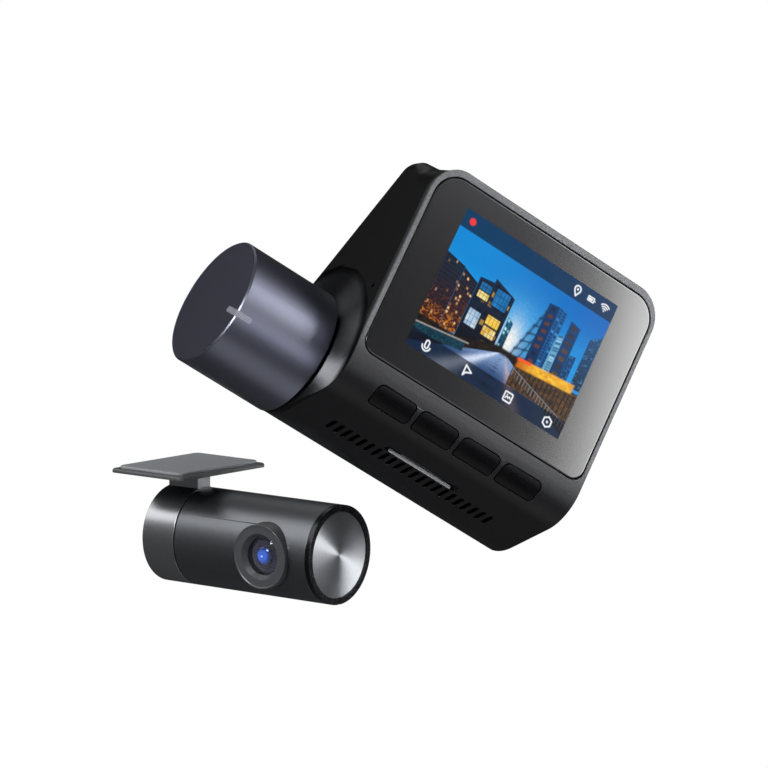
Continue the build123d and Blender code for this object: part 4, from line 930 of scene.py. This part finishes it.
shop_row = patch(-0.01, 0.225, 0.68, 0.80, soft_ends=0.02) * rise(mottle(0.009, 13), 0.35, 0.85)
paint(shop_row * 0.8, "#7a3418", "#f0902c", mottle(0.012, 14))
facade(*near_row[2])
facade(*near_row[3])
boxes = (
    (0.245, 0.312, 0.365, 0.425, "#1c5c94", "#2a78b4"),
    (0.247, 0.312, 0.425, 0.470, "#e8c860", "#fff0a8"),
    (0.243, 0.312, 0.560, 0.672, "#8fb4d8", "#dcebf8"),
    (0.342, 0.428, 0.350, 0.470, "#1668a8", "#2a86c8"),
    (0.352, 0.430, 0.535, 0.600, "#f4c030", "#ffe884"),
    (0.354, 0.430, 0.612, 0.675, "#e0a828", "#fff2b0"),
)
panes = rise(np.abs(np.cos(u * math.pi / 0.0225)), 0.10, 0.30)
panes = panes * rise(np.abs(np.cos(v * math.pi / 0.052)), 0.06, 0.20)
for left, right, top_v, low_v, dark_shade, light_shade in boxes:
    paint(patch(left - 0.006, right + 0.006, top_v - 0.008, low_v + 0.008), "#0d1524")
    lit_box = patch(left, right, top_v, low_v) * (0.35 + 0.65 * panes)
    paint(lit_box, dark_shade, light_shade, mottle(0.03, 17))
print("near side painted")

# %% Pavilion and road
street_top = 0.765 - 0.10 * rise(u, 0.2, 0.5)
paint(rise(v - street_top, 0.0, 0.02), "#141318", "#2a2018", mottle(0.02, 18))
near = (v - 0.705) / (0.90 - 0.705)
road = rise(u, 0.515 - 0.385 * near, 0.523 - 0.375 * near)
road = road * (1 - rise(u, 0.53 + 0.33 * near, 0.54 + 0.35 * near))
road *= rise(v, 0.705, 0.73)
paint(road, "#7f9cc8", "#31507e", rise(v, 0.74, 0.88))
ray = (u - 0.52) / np.clip(v - 0.69, 0.004, None)
paint(road * np.exp(-(((ray + 0.95) / 0.22) ** 2)) * 0.85, "#dce8ff")
paint(road * np.exp(-(((ray - 0.55) / 0.16) ** 2)) * 0.45, "#d8b8b0")
dashes = between((1.0 / np.clip(v - 0.66, 0.02, None)) % 1.0, 0.2, 0.6, 0.1)
lane = np.exp(-(((ray + 0.1) / 0.16) ** 2))
paint(road * between(v, 0.74, 1.0) * dashes * lane * 0.6, "#1b2638")
hedge = patch(-0.01, 0.30, 0.835 - 0.18 * u, 0.905 - 0.20 * u, soft_ends=0.006)
paint(hedge, "#1c4a5c", "#0e2430", mottle(0.01, 19))
paint(patch(-0.01, 0.32, 0.828 - 0.18 * u, 0.838 - 0.18 * u, soft_ends=0.003) * 0.8, "#a8a49c")
roof_line = 0.688 - 0.12 * (u - 0.62)
paint(patch(0.60, 1.0, roof_line + 0.04, 0.875), "#2a2622", "#6a4a2c", mottle(0.012, 20))
posts = rise(np.cos(u * 230), 0.2, 0.8)
paint(patch(0.60, 1.0, roof_line + 0.05, 0.86) * posts * 0.7, "#15171c")
roof_band = patch(0.61, 0.96, roof_line - 0.018, roof_line + 0.045, 0.01, 0.008)
paint(roof_band, "#c86a14", "#ffc93a", rise(u, 0.62, 0.72) * (0.4 + 0.6 * mottle(0.018, 21)))
paint(patch(0.605, 0.69, roof_line - 0.02, roof_line, 0.01, 0.006), "#ff5a24")
fence_line = 0.755 + 0.36 * (u - 0.62)
paint(patch(0.60, 1.0, fence_line, fence_line + 0.004, soft_ends=0.003) * 0.7, "#9aa4ae")
bars = rise(np.cos(u * 300), 0.55, 0.9)
paint(patch(0.60, 1.0, fence_line, fence_line + 0.05, soft_ends=0.003) * bars * 0.55, "#8c949c")
picture *= (0.86 + 0.28 * mottle(0.007, 22) * rise(v, 0.25, 0.4) + 0.10 * (1 - rise(v, 0.25, 0.4)))[..., None]
print("street painted")

# %% Bars and symbols
def stroke(points, thickness=0.28, closed=False):
    """1 within half a thickness of a line through the points, in millimetres from the picture's
    upper left corner: the least of the distances to its straight parts."""
    points = np.asarray(points, float)
    starts, ends = (points, np.roll(points, -1, axis=0)) if closed else (points[:-1], points[1:])
    nearest = np.full(u.shape, np.inf)
    for (ax, ay), (dx, dy) in zip(starts, ends - starts):
        t = np.clip(((x_mm - ax) * dx + (y_mm - ay) * dy) / (dx * dx + dy * dy), 0, 1)
        nearest = np.minimum(nearest, np.hypot(x_mm - ax - t * dx, y_mm - ay - t * dy))
    return rise(-nearest, -thickness / 2 - 0.09, -thickness / 2 + 0.05)


def arc(cx, cy, radius, start, end, steps=13):
    """Points on part of a circle, angles in degrees from the right, downwards positive."""
    a = np.radians(np.linspace(start, end, steps))
    return np.stack([cx + radius * np.cos(a), cy + radius * np.sin(a)], -1)


def spot(x, y, radius):
    """1 inside a small round dot."""
    return rise(-np.hypot(x_mm - x, y_mm - y), -radius - 0.06, -radius + 0.06)


white, wide, tall = "#f2f5fa", picture_size[0] / mm, picture_size[1] / mm
row_top, row_low = 0.062 * tall, 0.940 * tall
paint(0.90 * (1 - rise(v, 0.124, 0.130)), "#0b2a46")
paint(0.80 * rise(v, 0.872, 0.880), "#0a1524")
paint(spot(0.058 * wide, row_top, 0.78), "#f03a3e")
pin_x, cell_x, wifi_x = 0.752 * wide, 0.845 * wide, 0.936 * wide
pin = np.concatenate([arc(pin_x, row_top - 0.25, 0.75, 150, 390), [[pin_x, row_top + 1.2]]])
paint(stroke(pin, closed=True), white)
paint(spot(pin_x, row_top - 0.25, 0.25), white)
case = np.array([[-0.8, -0.45], [0.7, -0.45], [0.7, 0.45], [-0.8, 0.45]]) + [cell_x, row_top]
paint(stroke(case, 0.22, True), white)
charge = stroke([[cell_x - 0.45, row_top], [cell_x + 0.15, row_top]], 0.45)
paint(charge + spot(cell_x + 1.0, row_top, 0.14), white)
for radius in (0.50, 0.98, 1.46):
    paint(stroke(arc(wifi_x, row_top + 0.70, radius, 225, 315), 0.22), white)
paint(spot(wifi_x, row_top + 0.70, 0.16), white)
mic_x, arrow_x, frame_x, set_x = 0.113 * wide, 0.378 * wide, 0.644 * wide, 0.904 * wide
cap, cup = arc(mic_x, row_low - 0.70, 0.42, 180, 360), arc(mic_x, row_low + 0.10, 0.42, 0, 180)
paint(stroke(np.concatenate([cap, cup]), closed=True), white)
paint(stroke(arc(mic_x, row_low + 0.10, 0.98, 5, 175)), white)
arrow = np.array([[-0.75, -1.1], [0.95, -0.15], [-0.30, 0.35], [-0.75, 1.1]]) + [arrow_x, row_low]
paint(stroke(arrow, closed=True), white)
turns = ((1, 1, 0), (-1, 1, 90), (-1, -1, 180), (1, -1, 270))
rounds = [arc(frame_x + 0.75 * a, row_low + 0.75 * b, 0.22, s, s + 90, 5) for a, b, s in turns]
peaks = [[-0.62, 0.35], [-0.25, -0.15], [0.05, 0.20], [0.35, -0.20], [0.62, 0.10]]
hills = np.array(peaks) + [frame_x, row_low]
sun = spot(frame_x - 0.35, row_low - 0.45, 0.14)
paint(stroke(np.concatenate(rounds), closed=True) + stroke(hills, 0.22) + sun, white)
paint(stroke(arc(set_x, row_low, 1.10, -90, 210, 6), closed=True) + spot(set_x, row_low, 0.26), white)
print("brightest value in the picture:", picture.max().round(2))

# %% Lit panel
panel_face = np.full(u.shape, glass_face + 0.03 * mm)
panel_x = picture_middle[0] + (u - 0.5) * picture_size[0]
panel_z = picture_middle[2] - (v - 0.5) * picture_size[1]
face = np.stack([panel_x, panel_face, panel_z], -1).reshape(-1, 3)
number = np.arange(u.size).reshape(u.shape)
rim = np.concatenate([number[:-1, 0], number[-1, :-1], number[:0:-1, -1], number[0, :0:-1]])
back_rim = u.size + np.arange(len(rim))
skirt = np.stack([rim, np.roll(rim, -1), np.roll(back_rim, -1), back_rim], -1)
places = np.concatenate([face, face[rim] + [0, 0.8 * mm, 0]])
panel_cells = np.concatenate([grid_cells(*u.shape), skirt]).tolist() + [back_rim.tolist()]
panel_mesh = bpy.data.meshes.new("lit_panel")
panel_mesh.from_pydata(places, [], panel_cells)
shown = np.zeros((len(places), 4), np.float32)
shown[: u.size, :3], shown[:, 3] = np.clip(picture, 0, 1).reshape(-1, 3), 1
panel_mesh.attributes.new("picture", "FLOAT_COLOR", "POINT").data.foreach_set("color", shown.ravel())
shape = bmesh.new()
shape.from_mesh(panel_mesh)
bmesh.ops.recalc_face_normals(shape, faces=shape.faces)
shape.to_mesh(panel_mesh)
shape.free()

# Its own surface is nearly black: all that shows is the light that it gives out.
panel_look = ("lit_liquid_crystal_panel", "#020203", "#040405", 5.0, 0.0, 0.16, 0.18)
lit_panel = grained(*panel_look, IOR=1.18, Emission_Strength=1.0)
tree = lit_panel.node_tree
shown_colour = add_node(tree, "ShaderNodeAttribute", {"attribute_name": "picture"})
tree.links.new(shown_colour.outputs["Color"], tree.nodes["shader"].inputs["Emission Color"])
panel = in_scene("lit_panel", panel_mesh)
wear(panel, lit_panel)
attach(panel, "front_unit")
print("panel cells:", len(panel_cells))

# %% Both boxes
visual_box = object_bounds()
boxes = {"cad": cad_box, "visual": visual_box}
print("CAD box:", np.array(cad_box).round(5).tolist(), "visual box:", np.array(visual_box).round(5).tolist())
